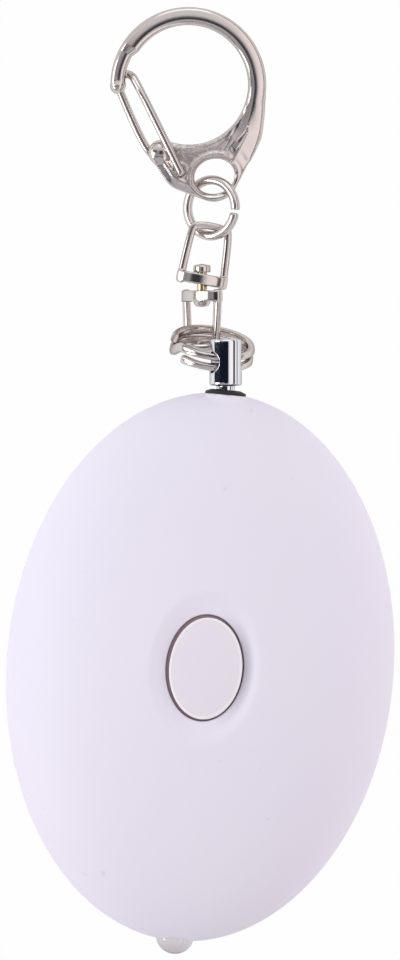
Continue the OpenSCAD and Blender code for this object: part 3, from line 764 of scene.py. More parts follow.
def end_bars():
    """The sleeve's hole and the lamp's hole as two cutting bars."""
    head = Matrix.Translation((0, case_half_l - 8 * mm, seam_z)) @ pull_way
    foot = Matrix.Translation((0, -case_half_l - 4 * mm, lamp_z)) @ pull_way
    flare_r = lamp_hole_r + 0.15 * mm
    lamp_bar = [(flare_r, 0), (flare_r, 4 * mm), (lamp_hole_r, 4.4 * mm), (lamp_hole_r, 10 * mm)]
    return [turned([(sleeve_hole_r, 0), (sleeve_hole_r, 10 * mm)], head), turned(lamp_bar, foot)]


front_size = (case_half_w, case_half_l, front_h)
inner_size = (case_half_w - wall, case_half_l - wall, front_h - wall)
skin_rings = dome_rings(front_field, front_size, hole_half + hole_lip, 60, 34)
lip_z = skin_rings[-1][:, 2]
lip_rings = [
    oval_ring(hole_half + hole_lip * (1 - math.sin(t)), lip_z - hole_lip * (1 - math.cos(t)))
    for t in np.linspace(0.3, math.pi / 2, 5)
]
collar_half = hole_half + collar_rim
well_rings = [oval_ring(hole_half, z) for z in np.linspace(well_top, collar_z, 4)]
well_rings += [oval_ring(collar_half, collar_z), dome_ring(collar_half, inner_size)]
inner_rings = dome_rings(None, inner_size, collar_half, 26)[::-1]
inner_rings.append(oval_ring(inner_size[:2], seam_z))
front_rings = seam_rings(1) + skin_rings + lip_rings + well_rings + inner_rings[1:]
front = mesh_object("case_front", *loft(front_rings, closed=True))
combine(front, end_bars(), "DIFFERENCE")
piece(front, "case", "case_plastic", case_finish, "front_shell")

# %% [markdown]
# The rear half ends in a flat back, which is what the alarm lies on. It has four screw pockets with
# posts behind them, seven sound holes and the round opening of the battery door. The cutting tools are
# flared where they meet the skin, which leaves a small bevel on every hole.

# %% Rear half of the case
screw_spots = [(x * mm, y * mm) for x, y in ((14, 17), (-14, 17), (13.5, -19.5), (-13.5, -19.5))]
door_y = joints["door_twist"]["pos_m"][1]
door_r = 10.5 * mm
door_gap = 0.2 * mm
lug_out = 11.4 * mm
lug_in = 10.1 * mm
lug_half = math.radians(14)
sound_spot = (0, -15.19 * mm)
sound_pitch = 3 * mm
sound_r = 0.8 * mm
post_r = 2.8 * mm
pocket_r = 2.0 * mm
pocket_top = 5.4 * mm
pocket_bevel = 0.2 * mm
sound_top = 4 * mm
sound_bevel = 0.18 * mm
board_z = 8.6 * mm


def rear_z(x, y, inset):
    """Height of the rear dome, moved in by inset, at a spot."""
    share = (x / (case_half_w - inset)) ** 2 + (y / (case_half_l - inset)) ** 2
    return np.maximum(seam_z - (rear_h - inset) * np.sqrt(1 - share), inset)


def post(spot):
    angle = full_turn(48)
    ring = np.stack([spot[0] + post_r * np.cos(angle), spot[1] + post_r * np.sin(angle), 0 * angle], 1)
    low, high = ring.copy(), ring.copy()
    low[:, 2] = rear_z(ring[:, 0], ring[:, 1], wall / 2)
    high[:, 2] = board_z
    return loft([low, high])


def drill(spot, radius, top, bevel):
    """A drill from under the skin up to top, with a flare at the skin."""
    skin_z = float(rear_z(spot[0], spot[1], 0.0))
    outline = [(radius + bevel, -2 * mm), (radius + bevel, skin_z), (radius, skin_z + bevel), (radius, top)]
    return turned(outline, Matrix.Translation((spot[0], spot[1], 0)), 40)


def sector(middle, spread_half, r_in, r_out, z_low, z_high):
    """A piece of a flat ring."""
    arc = np.linspace(middle - spread_half, middle + spread_half, 17)
    line = [(r_out * math.cos(t), r_out * math.sin(t)) for t in arc]
    line += [(r_in * math.cos(t), r_in * math.sin(t)) for t in arc[::-1]]
    rings = [np.array([(x, y + door_y, z) for x, y in line]) for z in (z_low, z_high)]
    return loft(rings)


rear_size = (case_half_w, case_half_l, -rear_h)
rear_inner = (case_half_w - wall, case_half_l - wall, -(rear_h - wall))
pole_half = np.array([1.0, 1.4]) * mm
back_rings = seam_rings(-1) + dome_rings(rear_field, rear_size, pole_half, 72)
floor_rings = dome_rings(None, rear_inner, pole_half, 30)
for ring in floor_rings:
    ring[:, 2] = np.maximum(ring[:, 2], wall)
seat_ring = [oval_ring(rear_inner[:2], seam_z)]
rear = mesh_object("case_rear", *loft(back_rings[::-1] + seat_ring + floor_rings))
combine(rear, [post(spot) for spot in screw_spots], "UNION")

sound_spots = [sound_spot]
for k in range(6):
    turn = k * math.pi / 3
    sound_spots.append((sound_pitch * math.cos(turn), sound_spot[1] + sound_pitch * math.sin(turn)))
drills = [drill(spot, pocket_r, pocket_top, pocket_bevel) for spot in screw_spots]
drills += [drill(spot, sound_r, sound_top, sound_bevel) for spot in sound_spots]
combine(rear, drills, "DIFFERENCE")

door_bevel = 0.22 * mm
mouth_r = door_r + door_gap
below, above = -1 * mm, wall + 1 * mm
mouth = [(mouth_r + door_bevel, below), (mouth_r + door_bevel, 0), (mouth_r, door_bevel), (mouth_r, above)]
door_place = Matrix.Translation((0, door_y, 0))
combine(rear, [turned(mouth, door_place, 128)], "DIFFERENCE")
slot_half = lug_half + math.radians(3)
slot_turns = (math.pi / 3, math.pi * 4 / 3)
slots = [sector(t, slot_half, 9 * mm, lug_out + 0.2 * mm, below, above) for t in slot_turns]
combine(rear, slots, "DIFFERENCE")
combine(rear, end_bars(), "DIFFERENCE")
piece(rear, "case", "case_plastic", case_finish, "rear_shell")

# %% [markdown]
# ## The battery door
#
# A round lid with a coin slot and two lugs, which turns a sixth of a turn to come out. It is turned
# from an eased outline, its lugs are joined on, and the slot is cut by a tool with round ends.

# %% Battery door
pole_r = 0.02 * mm
door_t = 1.4 * mm
slot_l = 11 * mm
slot_w = 1.6 * mm
slot_deep = 0.7 * mm
lid_rim = [(door_r, 0, 0.25 * mm), (door_r, door_t, 0.1 * mm)]
lid_outline = eased([(pole_r, 0, 0)] + lid_rim + [(pole_r, door_t, 0)])
door = mesh_object("battery_lid", *turned(lid_outline, door_place, 128))
lugs = [sector(t, lug_half, lug_in, lug_out, wall + 0.1 * mm, wall + 0.8 * mm) for t in (0, math.pi)]
neck_r = door_r - 0.1 * mm
necks = [sector(t, lug_half, lug_in, neck_r, door_t - 0.3 * mm, wall + 0.4 * mm) for t in (0, math.pi)]
combine(door, necks, "UNION")
combine(door, lugs, "UNION")


def slot_ring(half_w, z):
    end = slot_l / 2 - slot_w / 2
    arc = np.linspace(-math.pi / 2, math.pi / 2, 13)
    line = [(end + half_w * math.cos(t), half_w * math.sin(t)) for t in arc]
    line += [(-x, -y) for x, y in line]
    return np.array([(x, y + door_y, z) for x, y in line])


bevel = 0.16 * mm
slot_rings = [slot_ring(slot_w / 2 + bevel, below), slot_ring(slot_w / 2 + bevel, 0)]
slot_rings += [slot_ring(slot_w / 2, bevel), slot_ring(slot_w / 2, slot_deep)]
combine(door, [loft(slot_rings)], "DIFFERENCE")
piece(door, "door", "case_plastic", case_finish, "battery_door")

# %% [markdown]
# ## The button
#
# The button is a low oval dome with an eased edge, so a bright line runs round its rim, and a paler band
# painted along the rim adds to it as a painted highlight. It sits a hair off the middle of its hole, as
# loose buttons do. Below the rim a wider land fits the hole, a flange holds the button in, and a post
# reaches the switch. All of it is one loft of oval rings.

# %% Press button
button_half = np.array([4.7, 6.55]) * mm
button_top = 22.456 * mm
crown_spread = 1.6
crown_rise = 0.4 * mm
crown_h = crown_rise / (1 - math.sqrt(1 - 1 / crown_spread**2))
crown_size = (*(button_half * crown_spread), crown_h)
button_ease = 0.34 * mm
land_top = 21.35 * mm
gap_z = 21.7 * mm
flange_half = hole_half + 0.95 * mm
flange_top = collar_z - 0.05 * mm
flange_low = flange_top - 0.9 * mm
post_low = 14.45 * mm
post_half = np.array([1.5, 1.5]) * mm
slack = np.array([0.13, -0.08, 0]) * mm

top_half = button_half - button_ease
crown_shares = (0.02, 0.1, 0.2, 0.32, 0.44, 0.56, 0.68, 0.78, 0.87, 0.94, 1.0)
crown_rings = [dome_ring(top_half * s, crown_size, button_top - crown_h) for s in crown_shares]
rim_z = crown_rings[-1][:, 2]
rim_rings = [
    oval_ring(top_half + button_ease * math.sin(t), rim_z - button_ease * (1 - math.cos(t)))
    for t in np.linspace(0.15, math.pi / 2, 8)
]
rim_rings.append(oval_ring(button_half, land_top + 0.15 * mm))
off_centre = [ring + slack for ring in crown_rings + rim_rings]
land_half = hole_half - 0.06 * mm
skirt_rings = [oval_ring(land_half, z) for z in (land_top, well_top, flange_top)]
skirt_rings += [oval_ring(flange_half, flange_top), oval_ring(flange_half, flange_low)]
skirt_rings += [oval_ring(post_half, flange_low), oval_ring(post_half, post_low)]
button = mesh_object("press_button", *loft(off_centre + skirt_rings))
piece(button, "press_button", "button_plastic", satin_white(button_half, gap_z), "button")

# %% [markdown]
# ## Lamp and washer
#
# The lamp is a 5 mm bullet of clear epoxy with a flange at its base. The frame's bent legs and their
# cup stay inside it and show through. The washer is a rubber ring with a sleeve. Both are turned.

# %% Lamp and washer
lamp_r = 2.5 * mm
lamp_l = 8.6 * mm
flange_r = 2.9 * mm
flange_t = 1.0 * mm
lamp_place = Matrix.Translation((0, -lamp_tip, lamp_z)) @ pull_way
dome = [(lamp_r * math.sin(t), lamp_r * (1 - math.cos(t))) for t in np.linspace(0.02, math.pi / 2, 22)]
base = eased(
    [
        (lamp_r, lamp_r, 0),
        (lamp_r, lamp_l - flange_t, 0.1 * mm),
        (flange_r, lamp_l - flange_t, 0.1 * mm),
        (flange_r, lamp_l, 0.1 * mm),
        (0.05 * mm, lamp_l, 0),
    ]
)
lamp = mesh_object("lamp_lens", *turned(np.concatenate([dome, base[1:]]), lamp_place, 64))
piece(lamp, "case", "clear_resin", resin_finish, "led_lens")

washer_r = 2.65 * mm
washer_t = 0.65 * mm
washer_hole_r = 1.45 * mm
sleeve_r = 2.0 * mm
sleeve_l = 1.65 * mm
washer_outline = eased(
    [
        (washer_hole_r, -sleeve_l, 0),
        (sleeve_r, -sleeve_l, 0),
        (sleeve_r, 0, 0),
        (washer_r, 0, 0.1 * mm),
        (washer_r, 0.34 * mm, 0.14 * mm),
        (1.9 * mm, washer_t, 0.5 * mm),
        (washer_hole_r, washer_t, 0.15 * mm),
    ]
)
washer_place = Matrix.Translation((0, washer_seat, seam_z)) @ pull_way
washer = mesh_object("pin_washer", *turned(washer_outline, washer_place, 64, closed=True))
piece(washer, "case", "black_rubber", rubber_finish, "pin_grommet")

# %% [markdown]
# ## The pull pin
#
# The pin is a turned chrome bar with a thick head, drilled across for the split ring. Where the drill
# breaks out of the round head, the real edge is polished soft. A field gives that: two bars joined,
# then the drill cut away with an eased rim. The same frame, at the pin's mouth and leaning with it,
# carries the whole chain.

# %% Pull pin
chain = Matrix.Translation((0, case_half_l, 0)) @ Matrix((right, up, out)).transposed().to_4x4()
pin_place = chain @ Matrix.Translation((0, 0, seam_z))
stem_r = 1.2 * mm
stem_l = 17 * mm
head_r = 2.1 * mm
head_l = 6 * mm
head_v = 0.97 * mm
cross_v = head_v + head_l / 2
cross_r = 1.35 * mm
head_ease = 0.28 * mm
tip_ease = 0.45 * mm
neck_fillet = 0.08 * mm
drill_ease = 0.22 * mm
pin_cell = 0.15 * mm
ring_turn = math.radians(20)
cross_way = np.array([math.cos(ring_turn), 0, -math.sin(ring_turn)])


def pin_field(points):
    radius = np.hypot(points[..., 0], points[..., 2])
    head = rod_field((radius, head_r), points[..., 1] - cross_v, head_l / 2, head_ease)
    stem_half = (stem_l + cross_v) / 2
    stem = rod_field((radius, stem_r), points[..., 1] - (cross_v - stem_half), stem_half, tip_ease)
    away = points - (0, cross_v, 0)
    depth = away @ cross_way
    drill_way = np.linalg.norm(away - depth[..., None] * cross_way, axis=-1) - cross_r
    return cut(join(head, stem, neck_fillet), drill_way, drill_ease)


pin_low, pin_high = (-head_r, -stem_l, -head_r), (head_r, head_v + head_l, head_r)
pin = skinned("chrome_pin", pin_field, pin_low, pin_high, pin_cell, pin_place)
piece(pin, "pin", "pin_chrome", chrome_finish, "pull_pin", crease=None)

# %% [markdown]
# ## The split ring
#
# A key ring of flattened wire, wound almost two turns, with one step where it changes level. The path
# is a formula: a circle whose height drops smoothly over a short arc. A wire with a rounded square
# section follows it, and swells away from the pin until the two turns almost touch, as they do on the
# real ring.

# %% Split ring
ring_r = 5.0 * mm
ring_wire = 1.0 * mm
wire_power = 3.2
ring_step = 1.43 * mm
ring_tilt = math.radians(22)
ring_start, ring_sweep = math.radians(160), math.radians(680)
step_from, step_over = math.radians(322), math.radians(36)
ring_sag = ring_r - math.sqrt(ring_r**2 - head_r**2)

gone = np.linspace(0, ring_sweep, 260)
share = np.clip((gone - step_from) / step_over, 0, 1)
level = ring_step * (0.5 - share**2 * (3 - 2 * share))
ring_path = np.stack([ring_r * np.cos(ring_start - gone), ring_r * np.sin(ring_start - gone), level], 1)
ring_place = (
    chain
    @ Matrix.Translation((0, cross_v, seam_z))
    @ Matrix.Rotation(ring_turn, 4, "Y")
    @ Matrix.Rotation(math.pi / 2 + ring_tilt, 4, "X")
    @ Matrix.Translation((0, ring_sag / 2 - ring_r, 0))
)
most_swell = 0.34
from_pin = 1 - np.sin(ring_start - gone)
fuller = 1 + most_swell * np.clip((from_pin - 0.25) / 0.5, 0, 1)
ring_section = oval(0.46 * ring_wire, 0.47 * ring_wire, wire_power, 24)
ring = wire("key_ring", ring_path, ring_section, (0, 0, 1), ring_place, fuller)
piece(ring, "ring", "nickel", nickel_finish, "split_ring", crease=50)

# %% [markdown]
# ## The swivel
#
# Two stirrups meet plate to plate on a loose rivet. Each stirrup is a thick plate with a bent strap
# whose legs grow out of it. The strap is a field round a bent line, with a section between round and
# square, and it joins the plate with a fillet. Symmetry halves the work: the line is only drawn on one
# side, and the field looks at |x|.

# %% Swivel stirrups
link_half = 2.8 * mm
link_top = 2.35 * mm
link_l = 7 * mm
strap_r = 0.5 * mm
plate_t = 1.4 * mm
plate_d = 3.2 * mm
plate_w = 6.7 * mm
plate_gap = 0.75 * mm
plate_ease = 0.22 * mm
strap_fillet = 0.22 * mm
bore_ease = 0.12 * mm
link_cell = 0.13 * mm
bend = 0.95 * mm
strap_line = smooth_path(
    [
        (link_half, plate_t * 0.3, 0),
        (link_half, -plate_t * 0.5, 0),
        (link_top + 0.06 * mm, -link_l + bend, 0),
        (link_top * 0.72, -link_l + bend * 0.2, 0),
        (0, -link_l, 0),
        (-link_top * 0.72, -link_l + bend * 0.2, 0),
    ],
    6,
)[:25, :2]


def line_way(points, line):
    """Least distance in the plane from points to a bent line."""
    best = np.full(points.shape[:-1], 1.0)
    for start, end in zip(line, line[1:]):
        reach = end - start
        share = np.clip(((points - start) @ reach) / (reach @ reach), 0, 1)
        best = np.minimum(best, np.linalg.norm(points - start - share[..., None] * reach, axis=-1))
    return best


def stirrup_field(bore_r):
    def field(points):
        x, y, z = np.abs(points[..., 0]), points[..., 1], points[..., 2]
        side = line_way(np.stack([x, y], -1), strap_line)
        strap = (side**wire_power + np.abs(z) ** wire_power) ** (1 / wire_power) - strap_r * 0.96
        span = np.hypot(x / plate_w, z / plate_d) * 2
        rise = np.hypot(x / plate_w**2, z / plate_d**2) * 4
        around_plate = span * (span - 1) / np.maximum(rise, 1e-9)
        plate = overlap(around_plate, np.abs(y) - plate_t / 2, plate_ease)
        bore = np.maximum(np.hypot(x, z) - bore_r, np.abs(y) - plate_t)
        return cut(join(strap, plate, strap_fillet), bore, bore_ease)

    return field


def stirrup(name, bore_r, place, body, node):
    low = (-plate_w / 2, -link_l - strap_r, -plate_d / 2)
    high = (plate_w / 2, plate_t / 2, plate_d / 2)
    made = skinned(name, stirrup_field(bore_r), low, high, link_cell, place)
    return piece(made, body, "nickel", nickel_finish, node, crease=None)


strand_slip = 0.5 * mm
strand_at = chain.inverted() @ ring_place @ Vector((0, -ring_r, 0)) + Vector((strand_slip, 0, 0))
bar_drop = ring_step / 2 + ring_wire / 2 + strap_r + 0.27 * mm
lower_at = strand_at + Vector((0, link_l - bar_drop, 0))
upper_at = lower_at + Vector((0, plate_t + plate_gap, 0))
link_lean = math.radians(10)
rivet_r = 0.65 * mm
tight = 0.01 * mm
loose = 0.3 * mm
lower_place = chain @ Matrix.Translation(lower_at)
upper_place = chain @ Matrix.Translation(upper_at) @ Matrix.Rotation(-link_lean, 4, "Z")
lower_turn = Matrix.Rotation(math.radians(-47), 4, "Y")
upper_turn = Matrix.Rotation(math.radians(8), 4, "Y") @ Matrix.Rotation(math.pi, 4, "Z")
stirrup("lower_stirrup", rivet_r + tight, lower_place @ lower_turn, "lower_swivel", "swivel_lower_link")
stirrup("upper_stirrup", rivet_r + loose, upper_place @ upper_turn, "upper_swivel", "swivel_upper_link")

# %% [markdown]
# The rivet is brassy where the plating has worn. Its lower head is pressed down tight, and its upper
# head is a low dome with room under it, so that the upper stirrup can turn and lean.

# %% Swivel rivet
head_up = plate_t * 1.5 + plate_gap + 0.4 * mm


def worn_rivet():
    """Nickel on the heads, brass on the shank between them."""
    finish = Finish("worn_rivet", Metallic=1.0, Specular_Tint=edge_tint)
    middle = lower_place @ Vector((0, head_up / 2, 0))
    from_middle = finish.vector("SUBTRACT", finish.place(), tuple(middle))
    along = finish.vector("DOT_PRODUCT", from_middle, tuple(up), "Value")
    patches = finish.noise(0.5 * mm, 2.0)
    edge = finish.maths("ABSOLUTE", along) + patches * 0.4 * mm
    worn = 1 - finish.between(edge, head_up * 0.42, head_up * 0.62)
    finish.set("Base Color", finish.mix(worn, nickel_colour, (0.70, 0.57, 0.38, 1.0)))
    finish.set("Roughness", 0.13 + patches * 0.12)
    finish.bump(patches, 0.01 * mm, 0.4)
    return finish.material


foot_z = -plate_t / 2 - 0.05 * mm
cap_z = head_up - 0.18 * mm
cap_r = 1.12 * mm
rivet_outline = eased(
    [
        (pole_r, foot_z - 0.7 * mm, 0),
        (0.8 * mm, foot_z - 0.57 * mm, 0.3 * mm),
        (1.15 * mm, foot_z, 0.05 * mm),
        (rivet_r, foot_z, 0),
        (rivet_r, cap_z, 0),
        (cap_r, cap_z, 0.12 * mm),
        (cap_r, cap_z + 0.92 * mm, 0.3 * mm),
        (pole_r, cap_z + 1.1 * mm, 0),
    ]
)
rivet = mesh_object("swivel_rivet_turned", *turned(rivet_outline, lower_place @ pull_way, 40))
piece(rivet, "lower_swivel", "bronze", worn_rivet(), "swivel_rivet")

# %% [markdown]
# ## The jump ring
#
# One turn of round wire with a cut. The two ends are a little out of line, as pliers leave them.

# %% Jump ring
jump_r = 3.625 * mm
jump_wire_r = 0.6 * mm
jump_cut = 0.45 * mm / jump_r
jump_turn = math.radians(35)
arch_at = upper_at + link_l * Vector((math.sin(link_lean), math.cos(link_lean), 0))
jump_at = arch_at + Vector((0, jump_r - strap_r - jump_wire_r - 0.15 * mm, 0))
jump_place = chain @ Matrix.Translation(jump_at) @ Matrix.Rotation(-jump_turn, 4, "Y")
cut_at = math.radians(8)
end_offset = 0.05 * mm
turn = np.linspace(jump_cut / 2, 2 * math.pi - jump_cut / 2, 120) - cut_at
offset = end_offset * np.linspace(-1, 1, 120) ** 3
jump_path = np.stack([jump_r * np.cos(turn), jump_r * np.sin(turn), offset], 1)
jump = wire("jump_link", jump_path, oval(jump_wire_r, jump_wire_r, 2.0, 24), (0, 0, 1), jump_place)
piece(jump, "jump", "nickel", nickel_finish, "jump_ring", crease=50)

# %% [markdown]
# ## The clasp
#
# The clasp is one casting: a hook of ridged rod that narrows to a ball at its tip, and flows into a
# flat web with a knob, an eye for the jump ring and the gate's pivot hole. The field is written round
# the middle of the opening: for each point, its turn and its distance from there say where it lies
# along the rod and across it. The rod's section is a low roof with round sides, and its ridge, nearer
# the inside, is the line that catches the light.

# %% Clasp hook
clasp_r = 7.7 * mm
rod_half = 1.2 * mm
web_half = 0.8 * mm
tip_half = 0.95 * mm
ball_r = 1.0 * mm
ball_squash = 0.86
eye_spot = np.array([0.44, -1.535]) * clasp_r
eye_half = np.array([2.66, 2.25]) * mm
eye_lean = math.radians(16)
knob_spot = np.array([-0.42, -1.17]) * clasp_r
knob_r = 1.6 * mm
dome_spot = np.array([-3.55, -8.75]) * mm
dome_r = 1.64 * mm
dome_squash = 1.36
hip_r = 2.2 * mm
heel_spot = np.array([-0.018, -1.354]) * clasp_r
heel_r = 3.4 * mm


def polar(radius, degrees):
    return radius * np.array([math.cos(math.radians(degrees)), math.sin(math.radians(degrees))])


shoulder_spot = polar(clasp_r + rod_half, -13)
hip_spot = polar(1.53 * clasp_r - hip_r, -40)
pivot_spot = np.array([-0.147, -1.44]) * clasp_r
pivot_r = 0.535 * mm
pivot_boss_r = 1.05 * mm
pivot_boss_h = 0.12 * mm
worn_spot = np.array([0.6, -13.5]) * mm
web_r = 3.2 * mm
eye_strand = jump_at + Vector((0, jump_r, 0))
clasp_at = eye_strand - Vector((eye_spot[0] - 0.4 * mm, eye_spot[1] - 0.48 * mm, 0))
clasp_place = chain @ Matrix.Translation(clasp_at)

# Along the rod: turn in degrees; inner, outer and ridge radius in mm; height in mm; fall of the roof.
rod_table = np.array(
    [
        (-52, 7.7, 12.73, 10.6, 1.1, 0.68),
        (-40, 7.7, 11.78, 9.4, 1.3, 0.55),
        (-25, 7.7, 10.72, 8.95, 1.46, 0.42),
        (-13, 7.7, 10.1, 8.7, 1.5, 0.36),
        (10, 7.7, 10.1, 8.6, 1.5, 0.36),
        (146, 7.7, 10.1, 8.6, 1.5, 0.36),
        (153, 8.2, 10.1, 9.0, 1.2, 0.36),
        (168, 8.26, 10.1, 9.05, 1.1, 0.36),
        (174, 8.26, 10.1, 9.05, 1.1, 0.36),
        (180, 8.1, 10.1, 9.05, 1.15, 0.36),
        (196, 8.1, 10.1, 9.05, 1.15, 0.36),
    ]
)
rod_turns = rod_table[:, 0]
rod_rows = (rod_table[:, 1:] * (mm, mm, mm, mm, 1)).T
rod_start = rod_turns[0]
tip_turn = 181
ridge_round = 0.3
ridge_lift = 0.25
careful = 0.9

crest_in = 1.15 * mm
crest_h = 0.2 * mm
edge_w = 1.1 * mm
edge_drop = 0.42 * mm
lip_h = 0.16 * mm
bead_h = 0.22 * mm
hollow_deep = 0.5 * mm
hollow_r = 1.3 * mm
right_from = 4.6 * mm
facet_w = 1.9 * mm
facet_low = 0.45 * mm
facet_rise = 0.75 * mm
print("clasp: rod table of", len(rod_table), "rows")

# %% [markdown]
# The web's outline is a chain of five discs with straight runs between them. On top of it, bells and
# ramps raise a crest inside its sloped edge, a lip along the opening and a bead in front of the eye.
# They also sink a hollow behind the eye, where the jump ring needs room, and lean the right side into a
# facet.

# %% Field of the clasp
def bell(value, middle, width):
    """1 at the middle, falling to 0 on both sides."""
    return np.exp(-(((value - middle) / width) ** 2))


def ramp(value, start, over):
    """From 0 at the start up to 1."""
    return np.clip((value - start) / over, 0, 1)


def ball_way(flat, z, spot, squash):
    """Distance from the middle of a squashed ball."""
    return np.sqrt(((flat - spot) ** 2).sum(-1) + (z * squash) ** 2)


def disc_pair(points, first, r_first, second, r_second):
    """Distance in the plane to the hull of two discs."""
    reach = second - first
    size = np.linalg.norm(reach)
    along = (points - first) @ reach / size
    side = np.linalg.norm(points - first - along[..., None] * reach / size, axis=-1)
    fall = (r_first - r_second) / size
    lean = math.sqrt(1 - fall**2)
    foot = along * lean - side * fall
    near = np.hypot(along, side) - r_first
    far = np.hypot(along - size, side) - r_second
    flank = side * lean + along * fall - r_first
    return np.where(foot < 0, near, np.where(foot > size * lean, far, flank))


def web_outline(flat):
    """Distance to the outline of the web: five discs and the straight runs between them."""
    discs = [(knob_spot, knob_r), (heel_spot, heel_r), (eye_spot - 0.1 * mm, web_r)]
    discs += [(hip_spot, hip_r), (shoulder_spot, rod_half)]
    best = np.full(flat.shape[:-1], 1.0)
    corners = [disc[0] for disc in discs]
    middle = np.full(flat.shape[:-1], -1.0)
    for k in range(len(discs)):
        (first, r_first), (second, r_second) = discs[k], discs[(k + 1) % len(discs)]
        best = np.minimum(best, disc_pair(flat, first, r_first, second, r_second))
        edge = corners[(k + 1) % len(discs)] - corners[k]
        away = flat - corners[k]
        middle = np.maximum(middle, (away[..., 0] * edge[1] - away[..., 1] * edge[0]) / np.linalg.norm(edge))
    return np.minimum(best, middle)


def rod_part(flat, z):
    """The hook: a roof along the rod, ended at its root and at its tip, where a ball closes it."""
    radius = np.linalg.norm(flat, axis=-1)
    turn = np.degrees(np.arctan2(flat[..., 1], flat[..., 0]))
    turn = np.where(turn < -100, turn + 360, turn)
    inner, outer, ridge, deep, fall = (np.interp(turn, rod_turns, row) for row in rod_rows)
    inward = (ridge - radius) / (ridge - inner)
    outward = (radius - ridge) / (outer - ridge)
    from_ridge = np.clip(np.where(radius < ridge, inward, outward), 0, 1.2)
    lower = fall * (np.sqrt(from_ridge**2 + ridge_round) - ridge_lift)
    roof = (z - deep * (1 - lower)) * careful
    rod = overlap(roof, np.maximum(inner - radius, radius - outer), 0.5 * mm)
    past_tip = radius * np.sin(np.radians(turn - tip_turn))
    rod = overlap(rod, np.where(turn > 90, past_tip, -1.0), 0.1 * mm)
    before_root = radius * np.sin(np.radians(np.clip(rod_start - turn, -90, 90)))
    rod = overlap(rod, before_root, 0.6 * mm)
    ball_spot = polar(clasp_r + 2 * rod_half - tip_half, tip_turn)
    ball = (ball_way(flat, z, ball_spot, ball_squash) - ball_r) * careful
    return join(rod, ball, 0.12 * mm)


def eye_way(flat):
    """Distance to the edge of the eye, a leaning oval."""
    c, s = math.cos(eye_lean), math.sin(eye_lean)
    in_eye = ((flat - eye_spot) @ np.array([[c, -s], [s, c]])) / eye_half
    return (np.linalg.norm(in_eye, axis=-1) - 1) * eye_half[1]


def web_part(flat, z, in_front):
    outline = web_outline(flat)
    off_eye = ramp(np.linalg.norm(flat - eye_spot, axis=-1), web_r, 1.0 * mm)
    crest = bell(outline, -crest_in, 0.35 * mm) * off_eye
    edge = ramp(outline, -edge_w, edge_w) * off_eye
    lip = bell(np.linalg.norm(flat, axis=-1), clasp_r + 0.55 * mm, 0.35 * mm)
    on_right = ramp(flat[..., 0], right_from, 1.2 * mm)
    inner_fall = np.minimum(ramp(-outline, facet_w, 0.5 * mm), 0.6)
    facet = facet_rise * (ramp(-outline, 0, facet_w) - inner_fall) - facet_low
    bead = bell(eye_way(flat), 0.6 * mm, 0.3 * mm) * (1 - 0.8 * on_right) * in_front
    hollow = bell(np.linalg.norm(flat - worn_spot, axis=-1), 0, hollow_r) * (1 - in_front)
    on_left = (crest_h * crest - edge_drop * edge + lip_h * lip) * (1 - on_right)
    height = web_half + on_left + facet * on_right + bead_h * bead - hollow_deep * hollow
    return overlap(outline, z - height, 0.25 * mm)


def clasp_field(points):
    flat, z = points[..., :2], np.abs(points[..., 2])
    web = web_part(flat, z, points[..., 2] > 0)
    knob = (ball_way(flat, z, dome_spot, dome_squash) - dome_r) * 0.8
    from_pivot = np.linalg.norm(flat - pivot_spot, axis=-1)
    boss = overlap(from_pivot - pivot_boss_r, z - web_half - pivot_boss_h, 0.12 * mm)
    opening = np.linalg.norm(flat, axis=-1) - clasp_r - 0.03 * mm
    body = join(join(rod_part(flat, z), web, 0.5 * mm), knob, 0.2 * mm)
    body = cut(join(body, boss, 0.1 * mm), opening, 0.25 * mm)
    return cut(cut(body, eye_way(flat), 0.5 * mm), from_pivot - pivot_r, 0.15 * mm)


# %% Clasp casting
hook_low = np.array([-10.6, -15.6, -1.7]) * mm
hook_high = np.array([10.6, 10.6, 1.7]) * mm
hook_cell = 0.16 * mm
cast_reach = 5.0 * mm
cast_spot = clasp_place @ Vector((1.8 * mm, -9.0 * mm, web_half))
hook_finish = plated("cast_nickel", nickel_colour, 0.12, 0.4, (tuple(cast_spot), cast_reach))
hook = skinned("clasp_casting", clasp_field, hook_low, hook_high, hook_cell, clasp_place)
piece(hook, "clasp", "nickel", hook_finish, "clasp_hook", crease=None)

# %% [markdown]
# The gate is one springy wire. Both its ends sit in the pivot hole, one from each face, and its loop
# reaches round the hook's tip from inside and behind. Its path is a short list of points with a smooth
# line through them.

# %% Clasp gate
gate_r = 0.515 * mm
gate_gap = 0.25 * mm
gate_side = web_half + gate_r + gate_gap
gate_back = 1.2 * mm + gate_r + 0.13 * mm
tip_in = clasp_r + 2 * rod_half - 2 * tip_half
px, py = pivot_spot
kx, ky = knob_spot
gate_knots = [
    (px, py, 0.3 * mm),
    (px, py, gate_side - 0.3 * mm),
    (px - 0.25 * mm, py + 0.45 * mm, gate_side),
    (-tip_in + 2.66 * mm, -2.2 * mm, gate_side * 0.7),
    (-tip_in + 1.35 * mm, 0.4 * mm, 0.3 * mm),
    (-tip_in + 0.85 * mm, 1.2 * mm, -0.45 * mm),
    (-tip_in + 0.1 * mm, 1.4 * mm, -gate_back * 0.94),
    (-tip_in - 0.6 * mm, 0.2 * mm, -gate_back),
    (-tip_in - 0.3 * mm, -1.4 * mm, -gate_back),
    (kx - 1.9 * mm, ky + 0.6 * mm, -gate_side),
    (px - 0.5 * mm, py + 0.3 * mm, -gate_side),
    (px, py, -gate_side + 0.25 * mm),
    (px, py, -0.3 * mm),
]
gate_path = smooth_path(gate_knots, 16)
gate_side_way = (0.88, 0.47, 0.08)
gate = wire("gate_wire", gate_path, oval(gate_r, gate_r, 2.0, 20), gate_side_way, clasp_place)
piece(gate, "gate", "nickel", nickel_finish, "clasp_gate", crease=60)

# %% [markdown]
# ## Finishes for the inner pieces
#
# The pieces inside the case, the screws and the contacts keep their solids. Each takes the finish of
# the slot that the record gives it.

